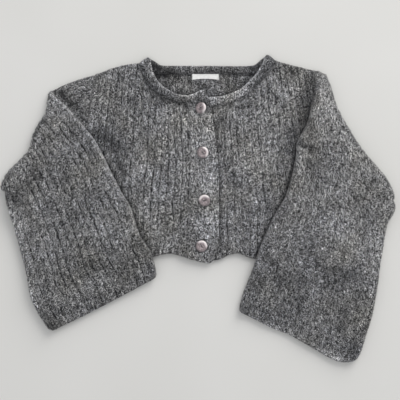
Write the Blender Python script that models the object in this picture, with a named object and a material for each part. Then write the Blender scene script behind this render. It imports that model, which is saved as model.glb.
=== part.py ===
"""Cropped cardigan in ribbed melange wool, buttoned up and laid flat on its back.

Both sleeves are folded over the front, each along a slanting line near its shoulder, and lie
partly on the fronts and partly on the surface below. X runs to the viewer's right, Y up to the
neck and Z up from the surface. The garment is drawn from its centre front line (x = 0) and its
side hems (y = 0) in millimetres, and an empty then sets the middle of its footprint on the origin.
Right and left are the wearer's: the right front and sleeve are on the viewer's left.
"""
import math

import bmesh
import bpy
import numpy as np
from mathutils import Vector

MM = 0.001
SHARP_ANGLE = math.radians(50)

# Cloth, in millimetres
WALL = 2.4
RIB = 1.0
GAP = 0.3
HEM_ROUND = 2.5
RIM_INSET = 0.5
LAYER = 2 * WALL + GAP
TUBE_HALF = LAYER / 2
FOLD_PUFF = 1.6
LIFT = LAYER + RIB + GAP + RIB
FOLD_RADIUS = (LIFT + FOLD_PUFF) / 2
PUFF_REACH = 20.0
DROP_START = 16.0
DROP_END = 55.0

# Body, in millimetres
RIB_PITCH = 13.3
BAND_SHARE = 0.16
UNDERARM_Y = 100.0
BACK_HEM_Y = 2.0
NECK_EASE = 0.8
NECK_STEPS = 12
NECK_SHARE = 0.93
LAP_RISE = (-52.0, -24.0)
ROWS_BELOW_UNDERARM = 3
ROWS_ABOVE_UNDERARM = 7
BACK_COLUMNS = 60
LAP_COLUMNS = 4

# Sleeves
SLEEVE_WIDTH = 207.0
SLEEVE_RIBS = 15
FLAT_STATIONS = 3
TURN_STEPS = 4
FOLDED_STATIONS = 14
INNER_COLUMNS = 10
EDGE_SHARE = 0.3

# Neck band, in millimetres; its corner is inset and share of the half thickness
BAND_THICK = 3.6
BAND_CORNER = [(0.0, 0.0), (0.6, 0.75), (2.2, 1.0)]
BAND_STEP = 10.0
BAND_TURN_STEPS = 5

# Buttons, by radius and height from the foot up and in, and the label, in millimetres
BUTTON_SIDES = 20
BUTTON_TILT = math.radians(28)
BUTTON_TURN = math.radians(-18)
BUTTON_PROFILE = [(8.4, 0.0), (9.8, 0.9), (10.0, 1.7), (9.0, 2.7), (7.4, 1.9), (4.5, 1.5)]
HOLE_RADIUS = 1.1
HOLE_SPACING = 4.8
HOLE_SIDES = 8
HOLE_DEPTH = 12.0
LABEL_SIZE = (47.0, 10.5, 1.0)
LABEL_TOP = (-2.2, 312.0)
LABEL_BOW = 2.0
LABEL_COLUMNS = 10

# Outline of the body: (x, y) in millimetres
SHOULDER_RIGHT = [(-196, 308), (-152, 326), (-121, 331)]
SHOULDER_LEFT = [(123, 334), (146, 327), (186, 316)]
HEM_RIGHT = [(-236, -2), (-99, -2), (-77, 2), (-49, -2), (-28, -9), (-5, -16), (7, -17), (14, -12)]
HEM_LEFT = [(-17, -15), (-1, -14), (20, -10), (35, -3), (58, 1), (90, -2), (235, -2)]
OPENING_EDGE = [(14, -12), (20, 19), (21, 86), (21, 130), (18, 175), (10, 236), (6, 264)]
UNDERLAP_EDGE = [(-17, -15), (-17, 257)]
ARMHOLE_RIGHT = [(-229, UNDERARM_Y), (-196, 308)]
ARMHOLE_LEFT = [(235, UNDERARM_Y), (186, 316)]

# Neck band: seam x, seam y, free edge x, free edge y, height of its middle
BAND_FRONT_RIGHT = [
    (5, 265, -3, 286, 8.4), (-8, 265, -12, 284, 8.4), (-24, 263, -25, 278, 8.2),
    (-40, 263, -38, 276, 6.4), (-63, 267, -56, 280, 5.0), (-85, 278, -76, 292, 5.2),
    (-102, 295, -88, 305, 6.0), (-111, 313, -95, 320, 6.5), (-114, 327, -100, 337, 6.6),
]
BAND_BACK = [
    (-114, 327, -100, 337, 1.8), (-107, 319, -91, 332, 1.8), (-98, 315, -83, 328, 1.8),
    (-82, 313, -70, 327, 1.8), (0, 313, 0, 327, 1.8), (76, 313, 70, 327, 1.8),
    (91, 314, 84, 329, 1.8), (106, 320, 93, 336, 1.8), (118, 330, 101, 342, 1.8),
]
BAND_FRONT_LEFT = [
    (118, 330, 101, 342, 6.6), (112, 322, 96, 330, 6.5), (99, 306, 87, 315, 6.0),
    (84, 290, 74, 301, 5.2), (65, 274, 58, 287, 4.9), (46, 265, 42, 280, 4.8),
    (27, 260, 26, 275, 4.6), (6, 258, 6, 273, 4.5), (-17, 257, -17, 272, 4.5),
]

# Sleeves as they lie: the fold from underarm side to shoulder side, then the edges down to the cuff
SLEEVES = {
    "sleeve_right": {
        "armhole": ARMHOLE_RIGHT,
        "fold": [(-362, 112), (-346, 142), (-325, 163), (-309, 182), (-304, 203), (-292, 228),
                 (-280, 247), (-277, 264), (-271, 280)],
        "under_edge": [(-344, 79), (-337, 51), (-325, 2), (-316, -37), (-308, -80), (-292, -112),
                       (-273, -138)],
        "upper_edge": [(-246, 257), (-217, 224), (-192, 192), (-173, 154), (-148, 105), (-134, 82),
                       (-117, 32), (-101, 0), (-91, -42)],
        "cuff": [(-273, -138), (-91, -42)],
        "outward": (-0.88, 0.47),
    },
    "sleeve_left": {
        "armhole": ARMHOLE_LEFT,
        "fold": [(331, 94), (317, 126), (298, 150), (280, 171), (265, 191), (247, 220),
                 (230, 250), (216, 284), (205, 308)],
        "under_edge": [(324, 72), (312, 47), (307, 14), (301, -30), (296, -68), (289, -110),
                       (279, -142), (270, -172), (261, -189)],
        "upper_edge": [(183, 265), (177, 232), (167, 212), (157, 191), (155, 166), (139, 103),
                       (119, 68), (98, 23), (88, -5), (76, -40), (65, -68), (55, -102)],
        "cuff": [(261, -189), (237, -191), (216, -184), (181, -164), (146, -144), (111, -130),
                 (76, -112), (55, -102)],
        "outward": (0.86, 0.51),
    },
}

# Soft folds that lift the cloth: start x, y, end x, y, height, half width
FOLDS = {
    "front_right": [(-62, 196, -48, 150, 1.6, 9), (-70, 70, -56, 30, 1.8, 10),
                    (-24, 262, 20, 262, 1.8, 13)],
    "front_left": [(44, 240, 80, 206, 2.4, 10), (48, 160, 64, 96, 2.0, 10), (44, 42, 62, 14, 1.6, 8)],
    "sleeve_right": [(-339, 70, -304, 86, 4.0, 13), (-304, 86, -232, 110, 3.6, 13),
                     (-232, 110, -176, 136, 2.6, 12)],
    "sleeve_left": [(112, 30, 180, 8, 2.4, 14), (180, 8, 282, -34, 2.6, 15)],
}

# Buttons: x, y, turn of their two holes in degrees
BUTTONS = [(-10, 253, 60), (-7, 176, -55), (-4, 92, 20), (-9, 12, -50)]


class Curve:
    """Smooth curve through the rows of a table, read by a fraction of its length."""

    def __init__(self, points):
        self.points = [np.array(point, float) for point in points]
        self.knots = [0.0]
        for start, end in zip(self.points, self.points[1:]):
            self.knots.append(self.knots[-1] + float(np.linalg.norm((end - start)[:2])))
        self.length = self.knots[-1]
        self.slopes = [self.slope(index) for index in range(len(self.points))]

    def slope(self, index):
        before = max(index - 1, 0)
        after = min(index + 1, len(self.points) - 1)
        return (self.points[after] - self.points[before]) / (self.knots[after] - self.knots[before])

    def at(self, fraction):
        place = min(max(fraction, 0.0), 1.0) * self.length
        index = 0
        while index < len(self.points) - 2 and place > self.knots[index + 1]:
            index += 1
        span = self.knots[index + 1] - self.knots[index]
        t = (place - self.knots[index]) / span
        start, end = self.points[index], self.points[index + 1]
        start_slope, end_slope = self.slopes[index] * span, self.slopes[index + 1] * span
        return ((2 * t**3 - 3 * t**2 + 1) * start + (t**3 - 2 * t**2 + t) * start_slope
                + (3 * t**2 - 2 * t**3) * end + (t**3 - t**2) * end_slope)

    def y_at(self, x):
        """Height of a curve that runs steadily along X, found by halving."""
        low, high = 0.0, 1.0
        rising = self.points[-1][0] > self.points[0][0]
        for _ in range(30):
            middle = (low + high) / 2
            if (self.at(middle)[0] < x) == rising:
                low = middle
            else:
                high = middle
        return float(self.at((low + high) / 2)[1])


def smoothstep(start, end, value):
    t = min(max((value - start) / (end - start), 0.0), 1.0)
    return t * t * (3 - 2 * t)


def rounding(distance, radius):
    """Share of full height that a rounded edge has at a distance from its rim."""
    inset = 1 - min(max(distance / radius, 0.0), 1.0)
    return math.sqrt(1 - inset * inset)


def distance_to_segment(x, y, x0, y0, x1, y1):
    run = (x1 - x0) ** 2 + (y1 - y0) ** 2
    t = min(max(((x - x0) * (x1 - x0) + (y - y0) * (y1 - y0)) / run, 0.0), 1.0)
    return math.hypot(x - x0 - t * (x1 - x0), y - y0 - t * (y1 - y0))


def distance_outside(polygon, x, y):
    """Distance from a place to a polygon, or zero inside it."""
    inside = False
    nearest = math.inf
    for (x0, y0), (x1, y1) in zip(polygon, polygon[1:] + polygon[:1]):
        if (y0 > y) != (y1 > y) and x < x0 + (y - y0) * (x1 - x0) / (y1 - y0):
            inside = not inside
        nearest = min(nearest, distance_to_segment(x, y, x0, y0, x1, y1))
    return 0.0 if inside else nearest


def fold_lift(name, x, y):
    """Height that the soft folds of a piece add at a place."""
    lift = 0.0
    for x0, y0, x1, y1, height, half_width in FOLDS[name]:
        distance = distance_to_segment(x, y, x0, y0, x1, y1)
        lift = max(lift, height * math.exp(-((distance / half_width) ** 2)))
    return lift


def patch(bottom, top, left, right, s, v):
    """Point inside four boundary curves, blended from the points that face it."""
    up = (1 - v) * bottom(s) + v * top(s)
    across = (1 - s) * left(v) + s * right(v)
    corners = ((1 - v) * ((1 - s) * bottom(0.0) + s * bottom(1.0))
               + v * ((1 - s) * top(0.0) + s * top(1.0)))
    return up + across - corners


def make_material(name, color, roughness):
    material = bpy.data.materials.new(name)
    material.use_nodes = True
    shader = material.node_tree.nodes["Principled BSDF"]
    shader.inputs["Base Color"].default_value = (*color, 1)
    shader.inputs["Roughness"].default_value = roughness
    shader.inputs["Metallic"].default_value = 0.0
    return material


def add_object(name, mesh_data, material, frame):
    """Object from a bmesh in millimetres, with its faces turned outwards."""
    bmesh.ops.recalc_face_normals(mesh_data, faces=mesh_data.faces)
    bmesh.ops.scale(mesh_data, vec=(MM, MM, MM), verts=mesh_data.verts)
    mesh = bpy.data.meshes.new(name)
    mesh_data.to_mesh(mesh)
    mesh_data.free()
    mesh.materials.append(material)
    mesh.shade_smooth()
    mesh.set_sharp_from_angle(angle=SHARP_ANGLE)
    obj = bpy.data.objects.new(name, mesh)
    bpy.context.collection.objects.link(obj)
    obj.parent = frame
    return obj


def join_rings(mesh_data, first, second):
    """Quads between two closed rings of equally many vertices."""
    for index in range(len(first)):
        after = (index + 1) % len(first)
        mesh_data.faces.new((first[index], first[after], second[after], second[index]))


def zip_rings(mesh_data, outer, inner):
    """Triangles between two closed rings whose vertices carry a share of the way round."""
    i, j = 0, 0
    while i < len(outer) or j < len(inner):
        next_outer = outer[i + 1][0] if i + 1 < len(outer) else 1.0
        next_inner = inner[j + 1][0] if j + 1 < len(inner) else 1.0
        here = (outer[i % len(outer)][1], inner[j % len(inner)][1])
        if j == len(inner) or (i < len(outer) and next_outer <= next_inner):
            mesh_data.faces.new((here[0], outer[(i + 1) % len(outer)][1], here[1]))
            i += 1
        else:
            mesh_data.faces.new((here[0], inner[(j + 1) % len(inner)][1], here[1]))
            j += 1


def sheet(columns, rows, plan, under, thickness):
    """Closed wall over a grid: plan gives x and y, under its lower side and thickness its height."""
    mesh_data = bmesh.new()
    lower, upper = [], []
    for s in columns:
        low_line, high_line = [], []
        for v in rows:
            x, y = plan(s, v)
            bottom = under(x, y)
            low_line.append(mesh_data.verts.new((x, y, bottom)))
            high_line.append(mesh_data.verts.new((x, y, bottom + thickness(s, v))))
        lower.append(low_line)
        upper.append(high_line)
    for i in range(len(columns) - 1):
        for j in range(len(rows) - 1):
            mesh_data.faces.new((upper[i][j], upper[i + 1][j], upper[i + 1][j + 1], upper[i][j + 1]))
            mesh_data.faces.new((lower[i][j], lower[i][j + 1], lower[i + 1][j + 1], lower[i + 1][j]))
    last_column, last_row = len(columns) - 1, len(rows) - 1
    rim = [(i, 0) for i in range(last_column)]
    rim += [(last_column, j) for j in range(last_row)]
    rim += [(i, last_row) for i in range(last_column, 0, -1)]
    rim += [(0, j) for j in range(last_row, 0, -1)]
    for (i, j), (k, m) in zip(rim, rim[1:] + rim[:1]):
        mesh_data.faces.new((lower[i][j], lower[k][m], upper[k][m], upper[i][j]))
    return mesh_data


def neck_line(rows, corner):
    """Edge of a panel round the neck: the band's seam, eased outwards, up to the shoulder's corner."""
    seam = Curve([row[:2] for row in rows])
    points = []
    for index in range(NECK_STEPS + 1):
        fraction = index / NECK_STEPS * NECK_SHARE
        here = seam.at(fraction)
        ahead = seam.at(fraction + 1 / seam.length) - here
        outward = np.array([-ahead[1], ahead[0]]) / np.linalg.norm(ahead)
        if corner[0] > 0:
            outward = -outward
        points.append(here + outward * NECK_EASE)
    points.append(np.array(corner, float))
    return points


def body_rows(height):
    """Row fractions from hem to top, with one on the underarm and one just inside each end."""
    underarm = UNDERARM_Y / height
    rows = [underarm * k / ROWS_BELOW_UNDERARM for k in range(ROWS_BELOW_UNDERARM)]
    rows += [underarm + (1 - underarm) * k / ROWS_ABOVE_UNDERARM for k in range(ROWS_ABOVE_UNDERARM + 1)]
    rows += [HEM_ROUND / height, 1 - HEM_ROUND / height]
    return sorted(rows)


def side_line(hem_point, armhole):
    """Side seam and armhole as one line by its share of the height, with a corner at the underarm."""
    hem_point, underarm, shoulder = [np.array(p, float) for p in (hem_point, *armhole)]
    share = UNDERARM_Y / shoulder[1]

    def line(v):
        if v < share:
            return hem_point + (underarm - hem_point) * v / share
        return underarm + (shoulder - underarm) * (v - share) / (1 - share)
    return line


def top_line(start_x, end_x, shoulder, neck):
    """Shoulder and neck line by a share of the way across in X."""
    corner_x = neck.points[-1][0]

    def line(s):
        x = start_x + (end_x - start_x) * s
        curve = neck if abs(x) < abs(corner_x) else shoulder
        return np.array([x, curve.y_at(x)])
    return line


def hem_line(start_x, end_x, hem):
    def line(s):
        x = start_x + (end_x - start_x) * s
        return np.array([x, hem.y_at(x)])
    return line


def underside(name, x, y):
    """Height of a front's inner face: on the back, and raised where the right front laps the left."""
    lap = smoothstep(*LAP_RISE, x) if name == "front_right" else 0.0
    return WALL + GAP + lap * (WALL + GAP) + fold_lift(name, x, y)


def add_front(name, armhole, shoulder_points, hem_points, edge_points, band_rows, material, frame):
    """One front: vertical ribs from the side to its smooth button band at the centre edge."""
    side_sign = 1 if armhole[0][0] > 0 else -1
    hem_side = hem_points[-1] if side_sign > 0 else hem_points[0]
    hem_centre = hem_points[0] if side_sign > 0 else hem_points[-1]
    corner = shoulder_points[0] if side_sign > 0 else shoulder_points[-1]
    rows_to_peak = band_rows[::-1] if side_sign > 0 else band_rows
    neck = Curve(neck_line(rows_to_peak, corner))
    edge = Curve(edge_points)
    bottom = hem_line(hem_side[0], hem_centre[0], Curve(hem_points))
    top = top_line(armhole[1][0], edge_points[-1][0], Curve(shoulder_points), neck)
    side = side_line(hem_side, armhole)
    width = abs(hem_side[0] - hem_centre[0])
    ribs = round(width * (1 - BAND_SHARE) / RIB_PITCH)
    columns = [(1 - BAND_SHARE) * k / (2 * ribs) for k in range(2 * ribs + 1)]
    columns += [1 - BAND_SHARE * (1 - k / LAP_COLUMNS) for k in range(1, LAP_COLUMNS + 1)]
    columns += [HEM_ROUND / width, 1 - HEM_ROUND / width]
    columns.sort()
    height = armhole[1][1]

    def plan(s, v):
        return patch(bottom, top, side, edge.at, s, v)

    def under(x, y):
        return underside(name, x, y)

    def thickness(s, v):
        phase = s / (1 - BAND_SHARE) * ribs
        rib = RIB * (0.5 - 0.5 * math.cos(2 * math.pi * phase)) if phase < ribs else 0.0
        rim = min(rounding(RIM_INSET + min(v, 1 - v) * height, HEM_ROUND),
                  rounding(RIM_INSET + min(s, 1 - s) * width, HEM_ROUND))
        return (WALL + rib) * rim

    mesh_data = sheet(columns, body_rows(height), plan, under, thickness)
    return add_object(name, mesh_data, material, frame)


def add_back(material, frame):
    """The back: a plain wall that lies flat, cut low at the neck where its inside shows."""
    half = len(BAND_BACK) // 2
    right_seam = Curve(neck_line(BAND_BACK[half::-1], SHOULDER_RIGHT[-1]))
    left_seam = Curve(neck_line(BAND_BACK[half:], SHOULDER_LEFT[0]))
    right_shoulder, left_shoulder = Curve(SHOULDER_RIGHT), Curve(SHOULDER_LEFT)
    hem_x = (HEM_RIGHT[0][0], HEM_LEFT[-1][0])
    top_x = (ARMHOLE_RIGHT[1][0], ARMHOLE_LEFT[1][0])

    def top(s):
        x = top_x[0] + (top_x[1] - top_x[0]) * s
        if x < SHOULDER_RIGHT[-1][0]:
            return np.array([x, right_shoulder.y_at(x)])
        if x > SHOULDER_LEFT[0][0]:
            return np.array([x, left_shoulder.y_at(x)])
        seam = right_seam if x < 0 else left_seam
        return np.array([x, seam.y_at(x)])

    def bottom(s):
        return np.array([hem_x[0] + (hem_x[1] - hem_x[0]) * s, BACK_HEM_Y])

    right_side = side_line((hem_x[0], BACK_HEM_Y), ARMHOLE_RIGHT)
    left_side = side_line((hem_x[1], BACK_HEM_Y), ARMHOLE_LEFT)
    columns = [k / BACK_COLUMNS for k in range(BACK_COLUMNS + 1)]
    mesh_data = sheet(columns, body_rows(ARMHOLE_RIGHT[1][1]),
                      lambda s, v: patch(bottom, top, right_side, left_side, s, v),
                      lambda x, y: 0.0, lambda s, v: WALL)
    return add_object("back", mesh_data, material, frame)


class Sleeve:
    """A flattened tube that leaves the armhole, turns back over itself and lies down to the cuff."""

    def __init__(self, name):
        shape = SLEEVES[name]
        self.name = name
        self.outward = np.array(shape["outward"])
        inset = FOLD_RADIUS + TUBE_HALF
        turn = [np.array(point, float) - self.outward * inset for point in shape["fold"]]
        self.turn = Curve(turn)
        self.cuff = Curve(shape["cuff"])
        self.under_edge = Curve([turn[0], *shape["under_edge"]])
        self.upper_edge = Curve([turn[-1], *shape["upper_edge"]])
        away = np.sign(self.outward[0]) * GAP
        self.armhole = [np.array(point, float) + (away, 0.0) for point in shape["armhole"]]
        body = [HEM_RIGHT[0], HEM_LEFT[-1], *ARMHOLE_LEFT, *ARMHOLE_RIGHT[::-1]]
        root = [shape["armhole"][0], *shape["fold"], shape["armhole"][1]]
        self.below = (body, root)

    def support(self, x, y):
        """Share of the lift that the layers below give: 1 on them, 0 where the sleeve has dropped."""
        distance = min(distance_outside(polygon, x, y) for polygon in self.below)
        return 1 - smoothstep(DROP_START, DROP_END, distance)

    def stations(self):
        """Each station is (flat share, turn angle, folded share): one of them grows at a time."""
        flat = [(k / FLAT_STATIONS, 0.0, 0.0) for k in range(FLAT_STATIONS + 1)]
        turn = [(1.0, math.pi * k / TURN_STEPS, 0.0) for k in range(1, TURN_STEPS + 1)]
        folded = [(1.0, math.pi, k / FOLDED_STATIONS) for k in range(1, FOLDED_STATIONS + 1)]
        return flat + turn + folded

    def middle(self, station, t):
        """Middle of the tube, the way its front side faces, and the rib shares of its two sides."""
        flat, angle, folded = station
        turn = self.turn.at(t)
        if flat < 1.0:
            start = self.armhole[0] + (self.armhole[1] - self.armhole[0]) * t
            x, y = start + (turn - start) * flat
            return np.array([x, y, TUBE_HALF]), np.array([0.0, 0.0, 1.0]), 1.0, 0.0
        if folded == 0.0:
            facing = np.array([*(-self.outward * math.sin(angle)), math.cos(angle)])
            centre = np.array([*turn, TUBE_HALF + FOLD_RADIUS])
            grip = math.sin(min(angle, math.pi / 2))
            return centre - FOLD_RADIUS * facing, facing, 1.0, grip
        x, y = patch(self.turn.at, self.cuff.at, self.under_edge.at, self.upper_edge.at, t, folded)
        share = self.support(x, y)
        run = folded * self.under_edge.length
        puff = FOLD_PUFF * math.exp(-run / PUFF_REACH)
        z = TUBE_HALF + share * (LIFT + puff) + fold_lift(self.name, x, y)
        return np.array([x, y, z]), np.array([0.0, 0.0, -1.0]), share, 1.0

    def ring(self, mesh_data, station, places, half, rib_height, edge):
        """Closed ring of (share of the way round, vertex): the back side out, the front side home."""
        way = [(t, -1) for t in places] + [(t, 1) for t in places[-2:0:-1]]
        ring = []
        for t, sign in way:
            centre, facing, front_rib, back_rib = self.middle(station, t)
            rim = rounding(min(t - places[0], places[-1] - t) * SLEEVE_WIDTH, edge)
            phase = t * SLEEVE_RIBS
            rib = rib_height * (0.5 - 0.5 * math.cos(2 * math.pi * phase)) * rim
            rib *= front_rib if sign > 0 else back_rib
            x, y, z = centre + sign * facing * (half * rim + rib)
            share = t / 2 if sign < 0 else 1 - t / 2
            ring.append((share, mesh_data.verts.new((x, y, z))))
        return ring


def add_sleeve(name, material, frame):
    """One sleeve: a ribbed outer tube, a plain inner one a wall inside it, and two open ends."""
    sleeve = Sleeve(name)
    edge = [0.0, EDGE_SHARE * TUBE_HALF / SLEEVE_WIDTH, TUBE_HALF / SLEEVE_WIDTH]
    rib_places = [k / (2 * SLEEVE_RIBS) for k in range(1, 2 * SLEEVE_RIBS)]
    outer_places = edge + rib_places + [1 - place for place in edge[::-1]]
    wall = WALL / SLEEVE_WIDTH
    inner_places = [wall + (1 - 2 * wall) * k / INNER_COLUMNS for k in range(INNER_COLUMNS + 1)]
    stations = sleeve.stations()
    mesh_data = bmesh.new()
    outer = [sleeve.ring(mesh_data, station, outer_places, TUBE_HALF, RIB, TUBE_HALF)
             for station in stations]
    inner = [sleeve.ring(mesh_data, station, inner_places, GAP / 2, 0.0, GAP)
             for station in stations]
    for rings in (outer, inner):
        for first, second in zip(rings, rings[1:]):
            join_rings(mesh_data, [vert for _, vert in first], [vert for _, vert in second])
    for end in (0, -1):
        zip_rings(mesh_data, outer[end], inner[end])
    return add_object(name, mesh_data, material, frame)


def band_section(seam, free, facing):
    """Rounded strip section from the seam to the free edge: each corner is inset, share of height."""
    across = free - seam
    width = np.linalg.norm(across)
    across = across / width
    upper = BAND_CORNER + [(width - inset, share) for inset, share in BAND_CORNER[::-1]]
    lower = [(inset, -share) for inset, share in upper[-2:0:-1]]
    return [seam + across * w + facing * h * BAND_THICK / 2 for w, h in upper + lower]


def band_run(rows, facing):
    """Sections along one stretch of the neck band."""
    path = Curve(rows)
    steps = round(path.length / BAND_STEP)
    sections = []
    for k in range(steps + 1):
        seam_x, seam_y, free_x, free_y, z = path.at(k / steps)
        seam = np.array([seam_x, seam_y, z])
        free = np.array([free_x, free_y, z])
        sections.append(band_section(seam, free, np.array([0.0, 0.0, facing])))
    return sections


def band_turn(row, start_z, end_z):
    """Sections where the band turns over a shoulder from one layer to the other."""
    seam_x, seam_y, free_x, free_y, _ = row
    crease = np.array([free_x - seam_x, free_y - seam_y])
    outward = np.array([-crease[1], crease[0]]) / np.linalg.norm(crease)
    outward *= np.sign(outward[1])
    radius = abs(start_z - end_z) / 2
    middle = (start_z + end_z) / 2
    sections = []
    for k in range(1, BAND_TURN_STEPS):
        angle = math.pi * k / BAND_TURN_STEPS
        if start_z < end_z:
            angle = math.pi - angle
        facing = np.array([*(outward * math.sin(angle)), math.cos(angle)])
        seam = np.array([seam_x, seam_y, middle]) + facing * radius
        free = np.array([free_x, free_y, middle]) + facing * radius
        sections.append(band_section(seam, free, facing))
    return sections


def add_neck_band(material, frame):
    """One strip: the right front's end, over the shoulder, along the back, and under the lap."""
    sections = band_run(BAND_FRONT_RIGHT, 1.0)
    sections += band_turn(BAND_BACK[0], BAND_FRONT_RIGHT[-1][4], BAND_BACK[0][4])
    sections += band_run(BAND_BACK, -1.0)
    sections += band_turn(BAND_BACK[-1], BAND_BACK[-1][4], BAND_FRONT_LEFT[0][4])
    sections += band_run(BAND_FRONT_LEFT, 1.0)
    mesh_data = bmesh.new()
    rings = [[mesh_data.verts.new(point) for point in section] for section in sections]
    for first, second in zip(rings, rings[1:]):
        join_rings(mesh_data, first, second)
    mesh_data.faces.new(rings[0])
    mesh_data.faces.new(rings[-1][::-1])
    return add_object("neck_band", mesh_data, material, frame)


def button_seat(x, y):
    """Height at which a button's foot clears the cloth all round."""
    foot = BUTTON_PROFILE[0][0]
    rim = [2 * math.pi * k / BUTTON_SIDES for k in range(BUTTON_SIDES)]
    cloth = max(underside("front_right", x + foot * math.cos(a), y + foot * math.sin(a)) for a in rim)
    return cloth + WALL + GAP


def cut_thread_hole(button, side, hole_turn, material):
    """One of a button's two holes, cut by a thin upright prism."""
    cutter_data = bmesh.new()
    bmesh.ops.create_cone(cutter_data, cap_ends=True, segments=HOLE_SIDES, radius1=HOLE_RADIUS,
                          radius2=HOLE_RADIUS, depth=HOLE_DEPTH)
    end = "near" if side < 0 else "far"
    cutter = add_object(f"{button.name}_hole_{end}", cutter_data, material, button)
    reach = side * HOLE_SPACING / 2
    turn = math.radians(hole_turn)
    cutter.location = Vector((reach * math.cos(turn), reach * math.sin(turn), 0.0)) * MM
    cutter.hide_render = True
    cutter.display_type = "WIRE"
    cut = button.modifiers.new("thread hole", "BOOLEAN")
    cut.operation = "DIFFERENCE"
    cut.solver = "EXACT"
    cut.object = cutter


def add_button(index, x, y, hole_turn, material, frame):
    """A dished button with a raised rim and two holes; the top one stands tilted in its hole."""
    mesh_data = bmesh.new()
    rings = []
    for radius, z in BUTTON_PROFILE:
        angles = [2 * math.pi * k / BUTTON_SIDES for k in range(BUTTON_SIDES)]
        rings.append([mesh_data.verts.new((radius * math.cos(a), radius * math.sin(a), z)) for a in angles])
    for first, second in zip(rings, rings[1:]):
        join_rings(mesh_data, first, second)
    mesh_data.faces.new(rings[0][::-1])
    mesh_data.faces.new(rings[-1])
    button = add_object(f"button_{index}", mesh_data, material, frame)
    tilt, turn = (BUTTON_TILT, BUTTON_TURN) if index == 1 else (0.0, 0.0)
    rise = BUTTON_PROFILE[0][0] * math.sin(tilt)
    button.location = Vector((x, y, button_seat(x, y) + rise)) * MM
    button.rotation_euler = (0.0, -tilt, turn)
    for side in (-1, 1):
        cut_thread_hole(button, side, hole_turn, material)
    return button


def add_label(material, frame):
    """A woven tab sewn on the inside of the back, its ends a little lower than its middle."""
    width, height, thick = LABEL_SIZE
    centre_x, top_y = LABEL_TOP

    def plan(s, v):
        bow = LABEL_BOW * (2 * s - 1) ** 2
        return np.array([centre_x + (s - 0.5) * width, top_y - height * (1 - v) - bow])

    columns = [k / LABEL_COLUMNS for k in range(LABEL_COLUMNS + 1)]
    mesh_data = sheet(columns, [0.0, 1.0], plan, lambda x, y: WALL + GAP, lambda s, v: thick)
    return add_object("label", mesh_data, material, frame)


def centre_on_origin(frame, pieces):
    """Moves the frame so that the middle of the garment's footprint is on the origin."""
    bpy.context.view_layer.update()
    corners = [piece.matrix_world @ vert.co for piece in pieces for vert in piece.data.vertices]
    for axis in (0, 1):
        low = min(corner[axis] for corner in corners)
        high = max(corner[axis] for corner in corners)
        frame.location[axis] -= (low + high) / 2


def build():
    for obj in list(bpy.data.objects):
        bpy.data.objects.remove(obj, do_unlink=True)
    wool = make_material("charcoal melange wool", (0.12, 0.12, 0.13), 0.9)
    rib_wool = make_material("charcoal melange band", (0.13, 0.13, 0.14), 0.9)
    pearl = make_material("grey pearl button", (0.42, 0.36, 0.35), 0.25)
    satin = make_material("white woven label", (0.8, 0.8, 0.79), 0.6)
    frame = bpy.data.objects.new("garment_frame", None)
    bpy.context.collection.objects.link(frame)
    pieces = [
        add_back(wool, frame),
        add_front("front_right", ARMHOLE_RIGHT, SHOULDER_RIGHT, HEM_RIGHT, OPENING_EDGE,
                  BAND_FRONT_RIGHT, wool, frame),
        add_front("front_left", ARMHOLE_LEFT, SHOULDER_LEFT, HEM_LEFT, UNDERLAP_EDGE,
                  BAND_FRONT_LEFT, wool, frame),
    ]
    pieces += [add_sleeve(name, wool, frame) for name in SLEEVES]
    pieces.append(add_neck_band(rib_wool, frame))
    pieces += [add_button(index, *place, pearl, frame) for index, place in enumerate(BUTTONS, 1)]
    pieces.append(add_label(satin, frame))
    centre_on_origin(frame, pieces)


build()
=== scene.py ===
"""Looks of the cropped cardigan: felted melange wool, pearl buttons, a woven label, floor and light.

Each cloth piece is drawn again from the outlines of its solid, with finer ribs, creases and lumps,
and stands for that solid. Lengths are in millimetres from the centre front line (x = 0) and the side
hems (y = 0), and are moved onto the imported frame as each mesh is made. Right and left are the
wearer's, so the right front and sleeve are on the viewer's left.
"""
import math

import bmesh
import bpy
import numpy as np
from mathutils import Euler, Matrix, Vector

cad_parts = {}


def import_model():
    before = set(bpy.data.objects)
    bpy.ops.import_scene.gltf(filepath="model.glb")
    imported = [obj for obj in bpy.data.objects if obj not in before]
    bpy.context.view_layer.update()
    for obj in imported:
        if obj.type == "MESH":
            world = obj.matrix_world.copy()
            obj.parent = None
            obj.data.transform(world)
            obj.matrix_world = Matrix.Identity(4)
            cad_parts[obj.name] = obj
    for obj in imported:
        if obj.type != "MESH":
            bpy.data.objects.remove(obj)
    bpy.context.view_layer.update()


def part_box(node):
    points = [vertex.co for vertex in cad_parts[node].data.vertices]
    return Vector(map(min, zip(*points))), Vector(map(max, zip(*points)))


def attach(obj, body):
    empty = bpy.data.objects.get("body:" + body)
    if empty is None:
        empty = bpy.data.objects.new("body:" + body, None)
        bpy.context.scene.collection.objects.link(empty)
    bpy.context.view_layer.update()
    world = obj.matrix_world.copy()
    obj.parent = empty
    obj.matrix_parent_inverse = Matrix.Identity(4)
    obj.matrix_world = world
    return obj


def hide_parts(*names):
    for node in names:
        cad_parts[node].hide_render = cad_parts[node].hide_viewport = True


MM = 0.001
SHIFT = np.zeros(3)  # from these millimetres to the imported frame, set once the part is loaded

# Cloth, in millimetres
WALL = 2.4
GAP = 0.3
RIB = 1.45
RIB_SHARPNESS = 0.62
HEM_ROUND = 2.5
BACK_ROUND = 1.5
RIM_START = 0.25
CLEARANCE = 1.0
TUBE_HALF = (2 * WALL + GAP) / 2
FOLD_PUFF = 1.6
LIFT = 2 * (WALL + GAP + CLEARANCE)
FOLD_RADIUS = (LIFT + FOLD_PUFF) / 2
PUFF_REACH = 20.0
DROP = (16.0, 55.0)
EDGE_STEPS = (0.0, 0.12, 0.45, 0.95, 1.6, 2.4)

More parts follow.
